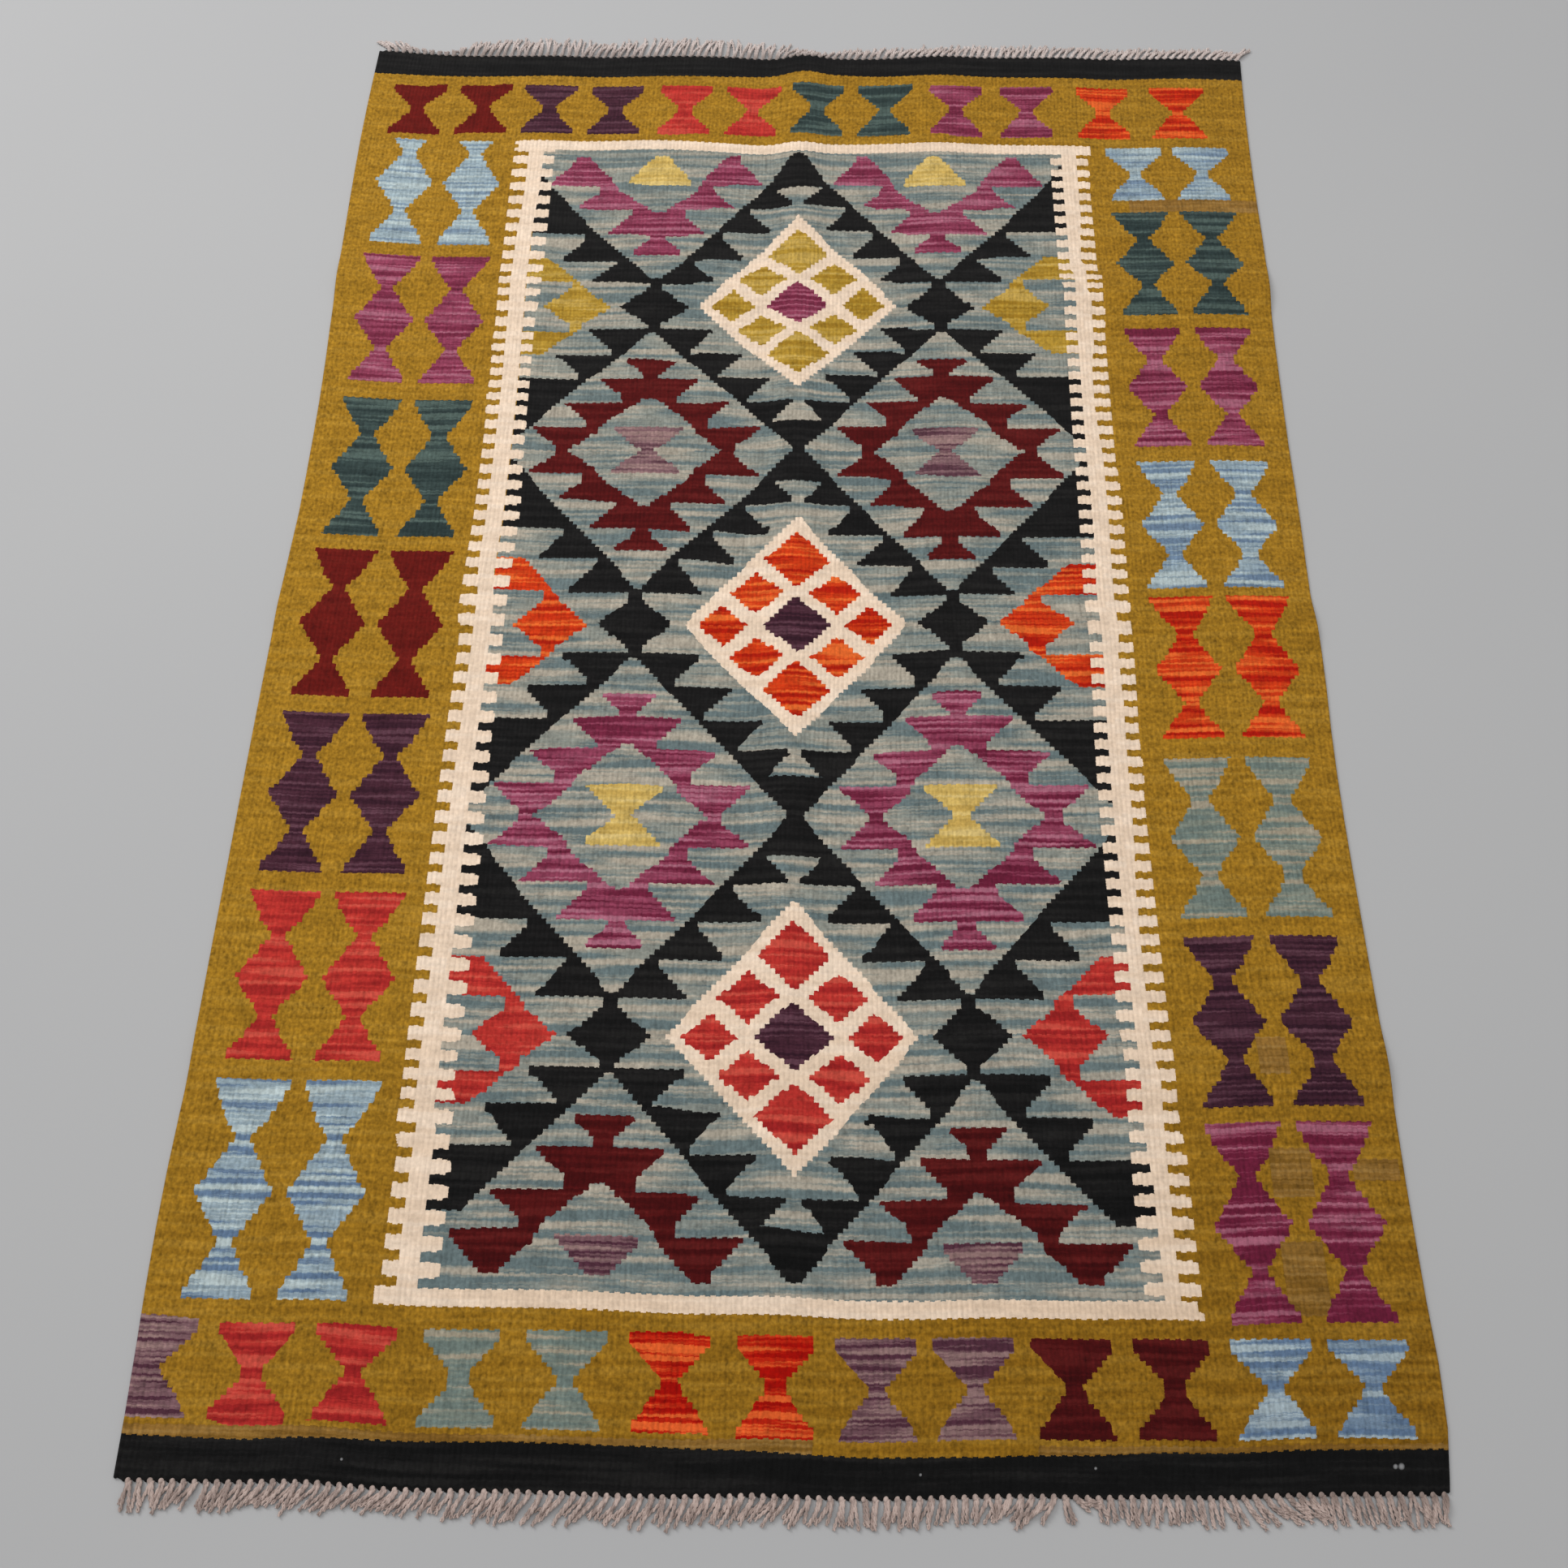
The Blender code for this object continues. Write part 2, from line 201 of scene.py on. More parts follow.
def cloth_points(columns, on_top):
    """Points of the face or of the underside, row by row, and their places on the loom in millimetres."""
    x, y = np.meshgrid(columns, rows)
    in_x = np.minimum(x, WIDTH - x)
    in_y = np.minimum(y, LENGTH - y)
    share = np.minimum(rim_share(in_x), rim_share(in_y))
    height = share if on_top else RIM_HEIGHT * (1 - share) / (1 - RIM_HEIGHT)
    fx, fy = to_floor(x, y)
    # the black bulges between the knots are partly a real bulge and partly a dark stand-in for the shade
    # between the knots
    scallop = BULGE_AND_SHADE * np.cos(2 * math.pi * x / KNOT_PITCH) * np.exp(-in_y / BULGE_AND_SHADE_REACH)
    worn = CORNER - np.sqrt(np.maximum(CORNER ** 2 - np.maximum(CORNER - in_x, 0) ** 2, 0))
    outward = scallop - worn * np.exp(-in_y / CORNER)
    fy = fy + np.where(y < LENGTH / 2, -outward, outward)
    z = crease_lift(x, y) + THICKNESS * height
    return np.stack([fx, fy, z], -1).reshape(-1, 3), np.stack([x, y], -1).reshape(-1, 2) * 1000


# %% One closed sheet
def make_sheet():
    """Both sides as one mesh. The underside uses the face's own points all along the rim."""
    top, top_loom = cloth_points(face_columns, True)
    back, back_loom = cloth_points(face_columns[back_ids], False)
    n, m, r = len(face_columns), len(back_ids), len(rows)
    points = list(map(tuple, top))
    loom = list(map(tuple, top_loom))
    back_index = {}
    for j in range(r):
        for k in range(m):
            if j in (0, r - 1) or k in (0, m - 1):
                back_index[j, k] = j * n + back_ids[k]
            else:
                back_index[j, k] = len(points)
                points.append(tuple(back[j * m + k]))
                loom.append(tuple(back_loom[j * m + k]))
    faces = [(j * n + i, j * n + i + 1, (j + 1) * n + i + 1, (j + 1) * n + i)
             for j in range(r - 1) for i in range(n - 1)]
    on_top = len(faces)
    for j in range(r - 1):
        for k in range(m - 1):
            low = [back_index[j, k]]
            high = [back_index[j + 1, k + 1]]
            if j == 0:
                low = list(range(back_ids[k], back_ids[k + 1]))
            if j == r - 2:
                high = list(range((r - 1) * n + back_ids[k + 1], (r - 1) * n + back_ids[k], -1))
            loop = low + [back_index[j, k + 1]] + high + [back_index[j + 1, k]]
            faces.append(tuple(reversed(loop)))
    mesh = bpy.data.meshes.new("kilim cloth")
    mesh.from_pydata(points, [], faces)
    return mesh, np.array(loom), on_top


def add_object(name, data):
    """Puts a mesh, a lamp or a camera in the scene as an object."""
    obj = bpy.data.objects.new(name, data)
    bpy.context.scene.collection.objects.link(obj)
    return obj


sheet_mesh, loom_at, face_count = make_sheet()
cloth = add_object("kilim_cloth", sheet_mesh)
print("cloth:", len(sheet_mesh.vertices), "points,", len(sheet_mesh.polygons), "faces")

# %% The loom address and the bake map
# on the bake map: left, bottom, width, height
FACE_PLOT = (0.004, 0.004, 0.640, 0.963)
BACK_PLOT = (0.655, 0.004, 0.335, 0.504)

corner_point = np.empty(len(sheet_mesh.loops), dtype=np.int32)
sheet_mesh.loops.foreach_get("vertex_index", corner_point)
corner_loom = loom_at[corner_point]
corner_count = np.array([len(face.vertices) for face in sheet_mesh.polygons])
corner_on_top = np.repeat(np.arange(len(corner_count)) < face_count, corner_count)
bake_uv = np.empty_like(corner_loom)
for plot, chosen, mirror in ((FACE_PLOT, corner_on_top, False), (BACK_PLOT, ~corner_on_top, True)):
    u = corner_loom[chosen, 0] / WIDTH_MM
    u = 1 - u if mirror else u
    bake_uv[chosen, 0] = plot[0] + plot[2] * u
    bake_uv[chosen, 1] = plot[1] + plot[3] * corner_loom[chosen, 1] / LENGTH_MM
for name, uv in (("loom", corner_loom), ("OFBake", bake_uv)):
    sheet_mesh.uv_layers.new(name=name).data.foreach_set("uv", uv.ravel())
sheet_mesh.shade_smooth()
print("UV maps:", [layer.name for layer in sheet_mesh.uv_layers])


# %% [markdown]
# ## Node trees written as sums
#
# Both the materials and the Geometry Nodes below need a lot of arithmetic. A chain of Math nodes is hard to
# read as code, so a small class wraps a socket and overloads the operators: `a + b` adds a Math node and
# gives back its output. The reflected forms make `1 - mask` work too. Every other node comes from one
# function, which sets the node's own settings first, because they can change which sockets it has.

# %% A socket that understands arithmetic
class Wire:
    """The output of a node. Writing arithmetic with it adds the Math nodes."""

    def __init__(self, tree, socket):
        self.tree = tree
        self.socket = socket
        self.tested = {}  # comparisons with a number that have a node already

    def __add__(self, other): return math_node("ADD", self, other)
    def __radd__(self, other): return math_node("ADD", other, self)
    def __sub__(self, other): return math_node("SUBTRACT", self, other)
    def __rsub__(self, other): return math_node("SUBTRACT", other, self)
    def __mul__(self, other): return math_node("MULTIPLY", self, other)
    def __rmul__(self, other): return math_node("MULTIPLY", other, self)
    def __truediv__(self, other): return math_node("DIVIDE", self, other)
    def __lt__(self, other): return math_node("LESS_THAN", self, other)

    def __gt__(self, other):
        if isinstance(other, Wire):
            return math_node("GREATER_THAN", self, other)
        if other not in self.tested:
            self.tested[other] = math_node("GREATER_THAN", self, other)
        return self.tested[other]


def tree_of(*terms):
    return next(term.tree for term in terms if isinstance(term, Wire))


def plug(tree, value, socket):
    """Links a wire to a socket, or sets the socket to a plain value."""
    if isinstance(value, Wire):
        tree.links.new(value.socket, socket)
    else:
        socket.default_value = value


def math_node(operation, *terms):
    tree = tree_of(*terms)
    node = tree.nodes.new("ShaderNodeMath")
    node.operation = operation
    for term, socket in zip(terms, node.inputs):
        plug(tree, term, socket)
    return Wire(tree, node.outputs[0])


def add_node(tree, kind, settings=None, sockets=None, output=0):
    """Any other node: its type, its settings, then its sockets by name or number. Gives back one output."""
    node = tree.nodes.new(kind)
    for name, value in (settings or {}).items():
        setattr(node, name, value)
    for name, value in (sockets or {}).items():
        plug(tree, value, node.inputs[name])
    return Wire(tree, node.outputs[output])


def split(vector):
    """A vector's three parts, as wires."""
    node = vector.tree.nodes.new("ShaderNodeSeparateXYZ")
    plug(vector.tree, vector, node.inputs[0])
    return [Wire(vector.tree, socket) for socket in node.outputs]


# %% [markdown]
# The pattern needs a few more words: the larger and the smaller of two values, rounding down, a choice
# between two, a ramp, and two kinds of table. `steps` jumps to a new value at each place in its rows, and
# `bends` runs in straight lines from row to row.

# %% Words for patterns
def larger(a, b): return math_node("MAXIMUM", a, b)
def smaller(a, b): return math_node("MINIMUM", a, b)
def absolute(a): return math_node("ABSOLUTE", a)
def whole(a): return math_node("FLOOR", a)
def squared(a): return a * a
def between(place, low, high): return (place > low) * (place < high)


def ramp_between(value, low, high, top=1.0):
    """0 at low, top at high, straight between and flat outside."""
    return add_node(value.tree, "ShaderNodeMapRange", {"clamp": True},
                    {"Value": value, "From Min": low, "From Max": high, "To Max": top})


def choose(mask, yes, no):
    """yes where the mask is 1, and no where it is 0."""
    if not isinstance(yes, Wire) and not isinstance(no, Wire):
        return math_node("MULTIPLY_ADD", mask, yes - no, no)
    return add_node(mask.tree, "ShaderNodeMix", {"data_type": "FLOAT"}, {0: mask, 2: no, 3: yes})


def steps(place, first, rows):
    """A table that jumps: first, and from each row's place on that row's value."""
    total = first
    before = first
    for at, value in rows:
        total = math_node("MULTIPLY_ADD", place > at, value - before, total)
        before = value
    return total


def bends(place, rows):
    """A table that runs straight from each row's value to the next."""
    total = rows[0][1]
    for (a, low), (b, high) in zip(rows, rows[1:]):
        if high != low:
            total = ramp_between(place, a, b, high - low) + total
    return total


print("the node vocabulary is ready")


# %% [markdown]
# ## The pattern, one yarn colour at a time
#
# The yarns are numbered, and the pattern is worked out as one number for every place of the cloth: the yarn
# that the weaver used there. Later two lookups turn that number into colours. Distances are in millimetres
# on the loom. They are first snapped to the weave, to the middle of a warp and to a few wefts, because slit
# weaving can only draw in such steps. That one line is what makes every diagonal a staircase.

# %% The yarns and the loom's steps
YARNS = (
    "mustard", "black", "cream", "field", "burgundy", "dark red", "aubergine", "coral", "plum", "teal",
    "light blue", "orange", "yellow", "mauve", "sage", "scarlet", "olive", "brown")
YARN = {name: number for number, name in enumerate(YARNS)}
ROW_MM = 4.35
# how much of the way a place is moved to the middle of its step
SNAP = 0.8


def snapped(place, step):
    """Most of the way to the middle of its step, so that a stair keeps slightly soft corners."""
    return ((whole(place / step) + 0.5) * step) * SNAP + place * (1 - SNAP)


print(len(YARNS), "yarns")

# %% [markdown]
# ## The border motifs
#
# The border is mustard, with black bands at the two ends. Down each side stand pairs of double hourglasses,
# and along each end a row of plain ones. Every motif is told by where it starts and stops. Its outline is a
# table of half widths, read by how far up the motif a place is.

# %% Where the hourglasses stand
# a column's motifs: first row, last row, yarn
LEFT_MOTIFS = (
    (129, 303, "light blue"), (320, 472, "coral"), (489.5, 647, "aubergine"), (664, 827, "dark red"),
    (842, 1010, "teal"), (1031.5, 1199, "plum"), (1219.5, 1399, "light blue"))
RIGHT_MOTIFS = (
    (121, 277, "plum"), (293, 439, "aubergine"), (456.5, 611, "sage"), (629, 781, "orange"),
    (792, 941, "light blue"), (959, 1110, "plum"), (1128.5, 1270.5, "teal"))
RIGHT_PLAIN = ((1286, 1364, "light blue"),)
# where the two hourglasses of a pair stand, and how the pair strays sideways on the way up
LEFT_CENTRES = (57.5, 132)
RIGHT_CENTRES = (872.5, 947)
LEFT_STRAY = ((130, -1), (600, -1), (1000, -2), (1350, 0))
RIGHT_STRAY = ((130, 0), (600, -1), (950, -0.5), (1150, -2.5), (1350, -4))
# the columns' double hourglasses are cut off above this
LEFT_TOP, RIGHT_TOP = 1369, 1286
# a motif's own numbers hold from this far below its first row
MOTIF_LEAD = 8
# share of the way up the motif, half width
DOUBLE_OUTLINE = (
    (0, 29), (0.05, 27), (0.16, 14), (0.22, 9), (0.26, 6), (0.35, 16), (0.46, 29), (0.49, 31), (0.57, 22),
    (0.66, 13), (0.71, 8), (0.74, 7), (0.83, 18), (0.96, 29), (1, 31))
PLAIN_OUTLINE = ((0, 30), (0.11, 28), (0.44, 8), (0.55, 7), (0.89, 30.5), (1, 30))
# an end's motifs: centre, yarn
FAR_ROW = (
    (57.5, "dark red"), (132.5, "dark red"), (207.5, "aubergine"), (283, "aubergine"), (362, "coral"),
    (439, "coral"), (513, "teal"), (589, "teal"), (670, "plum"), (751, "plum"), (838, "orange"),
    (923, "orange"))
NEAR_ROW = (
    (15, "mauve"), (91.5, "coral"), (169, "coral"), (250.5, "sage"), (331, "sage"), (411, "scarlet"),
    (492, "scarlet"), (569, "mauve"), (644, "mauve"), (719.5, "burgundy"), (796, "burgundy"),
    (872.5, "light blue"), (947, "light blue"))
FAR_SPAN = (1382, 1458)
NEAR_SPAN = (42, 115)
# the first near motif is cut off at the selvage, which leaves it one straight half
NEAR_CUT = 15
# place across, how far the weaving has crept up or down there
NEAR_CREEP = (
    (0, 1), (60, 0), (92, -2), (150, 0), (300, 0), (420, 0.5), (500, -3.5), (700, -4), (850, -4),
    (1000, -5))
FAR_CREEP = ((0, -7), (150, 1.5), (350, -1), (500, 2), (620, 2), (680, -2), (850, -2), (1000, -1))
# place across, height of the black band's edge
NEAR_BAND = (
    (0, 31.5), (90, 29.5), (200, 33), (300, 34), (400, 34), (500, 29.5), (650, 27), (800, 30.5),
    (1000, 31))
FAR_BAND = (
    (0, 1467.5), (90, 1471), (250, 1472.5), (400, 1472.5), (500, 1479.5), (600, 1475), (800, 1471.5),
    (1000, 1472))
# where the border's ground is of a browner skein: from and to across, from and to up
BROWN = (
    (893, 924, 219, 255), (893, 924, 128, 184), (958, 996, 229, 248), (892, 918, 318, 350),
    (690, 1000, 26, 35), (0, 520, 26, 40), (860, 1000, 1270, 1286))

print("pairs of double motifs:", len(LEFT_MOTIFS) + len(RIGHT_MOTIFS))
print("plain ones at the ends:", len(FAR_ROW) + len(NEAR_ROW))


# %% Drawing the hourglasses
def motif_column(x, y, motifs, centres, stray, outline, top):
    """Inside one of a column's motifs: 1 there, and the yarn number of the motif at that height."""
    rest = motifs[1:]
    first = steps(y, motifs[0][0], [(low - MOTIF_LEAD, low) for low, high, name in rest])
    tall = steps(y, motifs[0][1] - motifs[0][0], [(low - MOTIF_LEAD, high - low) for low, high, name in rest])
    yarn = steps(y, YARN[motifs[0][2]], [(low - MOTIF_LEAD, YARN[name]) for low, high, name in rest])
    share = (y - first) / tall
    across = x - bends(y, stray)
    off = smaller(absolute(across - centres[0]), absolute(across - centres[1]))
    return (off < bends(share, outline)) * between(share, 0, 1) * (y < top), yarn


def motif_row(x, y, row, span, creep, cut):
    """The same for a row of plain hourglasses. What lies left of cut is one flat half."""
    y = y - bends(x, creep)
    x = larger(x, cut)
    halfway = [(a[0] + b[0]) / 2 for a, b in zip(row, row[1:])]
    centre = steps(x, row[0][0], [(edge, b[0]) for edge, b in zip(halfway, row[1:])])
    yarn = steps(x, YARN[row[0][1]], [(edge, YARN[b[1]]) for edge, b in zip(halfway, row[1:])])
    share = (y - span[0]) / (span[1] - span[0])
    return (absolute(x - centre) < bends(share, PLAIN_OUTLINE)) * between(share, 0, 1), yarn


def border_yarns(x, y):
    browner = 0
    for left, right, low, high in BROWN:
        browner = larger(browner, between(x, left, right) * between(y, low, high))
    yarn = choose(browner, YARN["brown"], YARN["mustard"])
    for inside, number in (
        motif_column(x, y, LEFT_MOTIFS, LEFT_CENTRES, LEFT_STRAY, DOUBLE_OUTLINE, LEFT_TOP),
        motif_column(x, y, RIGHT_MOTIFS, RIGHT_CENTRES, RIGHT_STRAY, DOUBLE_OUTLINE, RIGHT_TOP),
        motif_row(x, y, FAR_ROW, FAR_SPAN, FAR_CREEP, 0),
        motif_row(x, y, NEAR_ROW, NEAR_SPAN, NEAR_CREEP, NEAR_CUT),
        motif_column(x, y, RIGHT_PLAIN, RIGHT_CENTRES, RIGHT_STRAY, PLAIN_OUTLINE, LENGTH_MM),
    ):
        yarn = choose(inside, number, yarn)
    return yarn


print("rows in the outlines:", len(DOUBLE_OUTLINE), "and", len(PLAIN_OUTLINE))


# %% [markdown]
# ## The white frame
#
# A cream frame with comb teeth on both sides stands between border and field. The teeth are evenly counted
# but not evenly beaten: each side has its own count, and its pitch drifts. So a side is told by a few pairs
# of height and tooth count, and a tooth is half of every whole count.

# %% The frame and its teeth
# place across, lower edge of the near band; then the far band's upper edge
NEAR_FRAME = ((175, 130.5), (350, 131), (480, 128.5), (600, 126.5), (830, 125.5))
FAR_FRAME = (
    (175, 1371.5), (320, 1373), (420, 1369.5), (500, 1369.5), (580, 1371), (700, 1368), (830, 1366))
FRAME_THICK = 13.5
FRAME_ENDS = (178.5, 820.5)
# height, teeth counted up to there
LEFT_COUNT = (
    (108, -1.5), (147.5, 0), (289, 7), (337.5, 10), (440.5, 15), (516, 19), (739.5, 30), (806, 33),
    (1007.5, 44), (1102.5, 50), (1143.5, 52), (1174.5, 54), (1352.5, 63), (1392, 67))
RIGHT_COUNT = (
    (106, -1), (139.5, 0), (734.5, 35), (781.5, 37), (1157, 59), (1181, 61), (1351, 71), (1387, 74.5))
# height, how far the comb has drifted sideways
LEFT_DRIFT = (
    (150, 1), (240, 0), (300, -4.5), (420, -4), (720, -5), (840, -8), (1020, -9.5), (1080, -9.5),
    (1320, -6))
RIGHT_DRIFT = (
    (150, 2), (300, 0), (360, -2), (540, -0.5), (600, 0.5), (720, -1), (780, 0.5), (900, 0.5),
    (1020, -1.5), (1140, 0.5), (1200, -5.5), (1320, -4))
# across at the near end: tips on the left, spine from and to, tips on the right
LEFT_COMB = (182.5, 196.5, 213, 227.5)
RIGHT_COMB = (779, 793, 807, 822.5)
# half the share of the pitch that is gap, how much more of it at a tooth's tip, how long the tip is
GAP_SHARE, TIP_GAP, TIP_MM = 0.2, 0.09, 2.5


def comb(x, y, comb_lines, count, drift):
    """1 on the cream of one side of the frame."""
    left, spine_from, spine_to, right = comb_lines
    across = x - bends(y, drift)
    turn = bends(y, count)
    to_gap = absolute(turn - whole(turn + 0.5))
    tip = larger(absolute(across - (left + right) / 2) - ((right - left) / 2 - TIP_MM), 0) / TIP_MM
    tooth = to_gap > (GAP_SHARE + TIP_GAP * tip)
    return larger(between(across, left, right) * tooth, between(across, spine_from, spine_to))


def frame_cream(x, y):
    left_side = comb(x, y, LEFT_COMB, LEFT_COUNT, LEFT_DRIFT)
    right_side = comb(x, y, RIGHT_COMB, RIGHT_COUNT, RIGHT_DRIFT)
    inward = smaller(y - bends(x, NEAR_FRAME), bends(x, FAR_FRAME) - y)
    bands = between(inward, 0, FRAME_THICK) * between(x, *FRAME_ENDS)
    return larger(larger(left_side, right_side) * (inward > 0), bands)


print("teeth up to the far end:", LEFT_COUNT[-1][1], "left,", RIGHT_COUNT[-1][1], "right")


# %% [markdown]
# ## The field
#
# The field is one small unit, mirrored left to right about the rug's middle and up and down about every row
# of black lozenges. So it is enough to draw the corner between a lozenge and a ring: `aside` counts from
# the middle of the rug, `away` from the lozenge row, and `near_ring` from the row of rings.
#
# - A black chain climbs from the lozenge in both directions. It is a straight inner edge, and an outer edge
#   with hooks that start wide and taper to the next hook.
# - The ring is made the same way, from an inner and an outer edge.
# - Between the lozenges stands a cream lattice of nine small diamonds, and beside each lozenge a diamond
#   with arms.

# %% The mirrored unit
# the mirrored count, and where on the loom it is reached at the left and at the right lozenges
COUNTS = (
    -200, -165, -137, -103, -68, -31, 0, 68, 137, 200, 263, 332, 400, 468, 537, 600, 663, 732, 800, 868,
    937, 971, 1000)
LEFT_HEIGHTS = (
    155.5, 195, 222.5, 255.5, 289.5, 321, 349, 419, 486.5, 551, 616.5, 681.5, 747, 823.5, 889.5, 950.5,
    1011, 1071, 1134.5, 1199.5, 1272, 1307.5, 1350)
RIGHT_HEIGHTS = (
    150, 188.5, 214.5, 247.5, 281.5, 317, 351.5, 420, 488, 552.5, 616.5, 683.5, 751.5, 816, 884, 951,
    1012.5, 1075.5, 1136, 1206, 1273.5, 1306.5, 1350)
# from one row of lozenges to the next, by that count; and the counts that are drawn at all
UNIT = 400
DRAWN = (-199.7, 999.5)
# across: the left and the right lozenges. The right ones are counted by their own heights.
LOZENGE_COLUMNS = (345, 660)
# place across, how far the field has strayed: sideways, then up and sideways in the far half
FIELD_STRAY = (
    (215, 0), (265, -2.4), (315, -0.2), (420, -0.3), (470, 1.6), (520, 2.2), (570, 2.2), (620, 1),
    (670, -2), (720, -2.4), (770, -0.6), (800, 0))
FAR_LIFT = (
    (300, -0.5), (370, -2), (420, 1.5), (470, 3.4), (520, 4.2), (570, 3.6), (620, -1.5), (670, -3),
    (720, -1), (780, 0))
FAR_STRAY = (
    (300, 0.5), (370, 2.2), (420, 1), (470, -0.8), (570, -1), (620, -3), (670, 1), (720, 3.6), (770, 0.5))
# where the far half's straying starts, and where all of it is there
FAR_HALF = (880, 1040)
# height, where the field's middle line is there
AXIS = ((150, 505), (351, 501.5), (552, 502), (748, 499), (950, 496), (1136, 494.5), (1340, 492.5))
# aside: the chain of lozenges. Then a lozenge's half width and half height, and those of its stem.
CHAIN_AT = 153
LOZENGE = (36, 30)
STEM = (6.5, 34)
# away, how wide the chain is open there, from a count and a distance away on
CHAIN_INNER = ((36, 3), (70.5, 32), (104, 63), (141, 95), (200, 147.5))
CHAIN_FROM, FIRST_OUTER_HOOK = 37, -157
# where a hook starts, how far its tip reaches
FRAME_HOOKS = ((31.5, 65), (66.5, 98), (102.5, 300))
AXIS_HOOKS = ((31, 63.5), (66.5, 94), (102.5, 124), (137, 148), (163, 300))
# up from where a hook starts, how far it has drawn back
HOOK_TAPER = ((1, 1), (5, 0), (9, 5.5), (30, 23.5))
# near_ring, half width; the half of a ring next to the frame is drawn a little narrower
RING_INNER = ((-1, 77.5), (8, 66), (23, 49), (37, 41), (48, 28), (60, 14), (71, 1))
RING_OUTER = (
    (2, 88), (7, 90), (27, 113), (30, 113.5), (30.5, 60), (41, 61.5), (61, 83), (62, 82), (63.5, 27),
    (72, 28), (95, 50), (98.5, 49), (99, 7.5), (106, 9), (121, 25), (125, 23), (125.5, -9))
SAND_GLASS = ((0, 6.5), (1, 8), (24, 33), (28.5, 34), (29, -9))
RING_TIP, RING_SQUEEZE = 69, 0.045
# half width and half height of the lattice, of its middle diamond and, below, of the diamond with arms
LATTICE = (106, 121)
# aside, away, half width, half height
LATTICE_CELLS = ((69, 0, 23, 21), (38, 34.5, 25.5, 22), (0, 70.5, 32.5, 31))
HEART = (33, 30.5)
ARMED_AT, ARMED = 233, (36, 30)
# an arm: away from and to, the distance away at which it spreads, half width before that, slope
ARM_SPAN, ARM_SPREADS, ARM_HALF, ARM_SLOPE = (20, 68), 34, 7.5, 1.05
# the yarns of each row, from the near end
DIAMOND_YARNS = ("coral", "orange", "olive")
HEART_YARNS = ("aubergine", "aubergine", "plum")
RING_YARNS = ("burgundy", "plum", "burgundy", "plum")
GLASS_YARNS = ("mauve", "yellow", "mauve", "yellow")
# a patch's number only has to differ from its neighbours', by row and inside a ring
PATCH_ROW, PATCH_RING = 3.1, 7.7

print("unit of the field:", LEFT_HEIGHTS[12] - LEFT_HEIGHTS[6], "mm high at the left")


# %% Drawing the unit
def diamond(dx, dy, half_width, half_height):
    return (absolute(dx) / half_width + absolute(dy) / half_height) < 1


def hooks(away, rows):
    """How far a chain reaches on one side, at a distance from its lozenge row."""
    start = steps(away, rows[0][0], [(row[0], row[0]) for row in rows[1:]])
    tip = steps(away, rows[0][1], [(row[0], row[1]) for row in rows[1:]])
    return (tip - bends(away - start, HOOK_TAPER)) * (away > rows[0][0])


def by_row(row, names):
    return steps(row, YARN[names[0]], [(k - 0.5, YARN[name]) for k, name in enumerate(names) if k])


def field_yarns(x, y):
    """The yarn at a place of the field, and a number for each patch that was woven in one go."""
    rightness = ramp_between(x, *LOZENGE_COLUMNS)
    far = ramp_between(y, *FAR_HALF)
    y = y - bends(x, FAR_LIFT) * far
    x = x - bends(x, FIELD_STRAY) - bends(x, FAR_STRAY) * far
    right, left = (bends(y, tuple(zip(heights, COUNTS))) for heights in (RIGHT_HEIGHTS, LEFT_HEIGHTS))
    count = choose(rightness, right, left)
    turn = (count + UNIT / 2) / UNIT
    away = absolute(turn - whole(turn) - 0.5) * UNIT
    near_ring = UNIT / 2 - away
    lozenge_row = whole(turn)
    ring_row = whole(turn + 0.5)
    aside = absolute(x - bends(y, AXIS))
    outward = aside > CHAIN_AT
    off = absolute(aside - CHAIN_AT)

    ring_off = off * (1 - RING_SQUEEZE * outward)
    ring_hole = bends(near_ring, RING_INNER) * (near_ring < RING_TIP)
    ring = (ring_off > ring_hole) * (ring_off < bends(near_ring, RING_OUTER))
    glass = off < bends(near_ring, SAND_GLASS)
    reach = choose(outward, hooks(away, FRAME_HOOKS), hooks(away, AXIS_HOOKS))
    chain = (off > bends(away, CHAIN_INNER) * (away > CHAIN_FROM)) * (off < reach)
    chain = chain * larger(1 - outward, count > FIRST_OUTER_HOOK)
    lozenge = larger(diamond(off, away, *LOZENGE), (off < STEM[0]) * (away < STEM[1]))

    cells = 0
    for cell_aside, cell_away, half_width, half_height in LATTICE_CELLS:
        cells = larger(cells, diamond(aside - cell_aside, away - cell_away, half_width, half_height))
    lean = aside - ARMED_AT
    spread = larger(away > ARM_SPREADS, absolute(lean) < ARM_HALF)
    arm = spread * (lean > (away - ARM_SPREADS - 1) * ARM_SLOPE) * between(away, *ARM_SPAN)

    yarn = YARN["field"]
    for mask, number in (
        (ring, by_row(ring_row, RING_YARNS)),
        (glass, by_row(ring_row, GLASS_YARNS)),
        (larger(chain, lozenge), YARN["black"]),
        (larger(diamond(lean, away, *ARMED), arm), by_row(lozenge_row, DIAMOND_YARNS)),
        (diamond(aside, away, *LATTICE), YARN["cream"]),
        (cells, by_row(lozenge_row, DIAMOND_YARNS)),
        (diamond(aside, away, *HEART), by_row(lozenge_row, HEART_YARNS)),
    ):
        yarn = choose(mask, number, yarn)
    drawn = between(count, *DRAWN)
    patch = whole(turn * 2) * PATCH_ROW + (ring_off < ring_hole) * PATCH_RING
    return choose(drawn, yarn, YARN["field"]), patch * drawn


print(len(RING_YARNS), "rows of rings and", len(HEART_YARNS), "rows of lozenges")


# %% [markdown]
# The whole cloth is then one choice after another: field inside the frame, the cream frame over both, and
# the black bands at the two ends over all.

# %% The yarn at every place
FIELD_ACROSS = (205, 799)
FIELD_UP = (132, 1364)


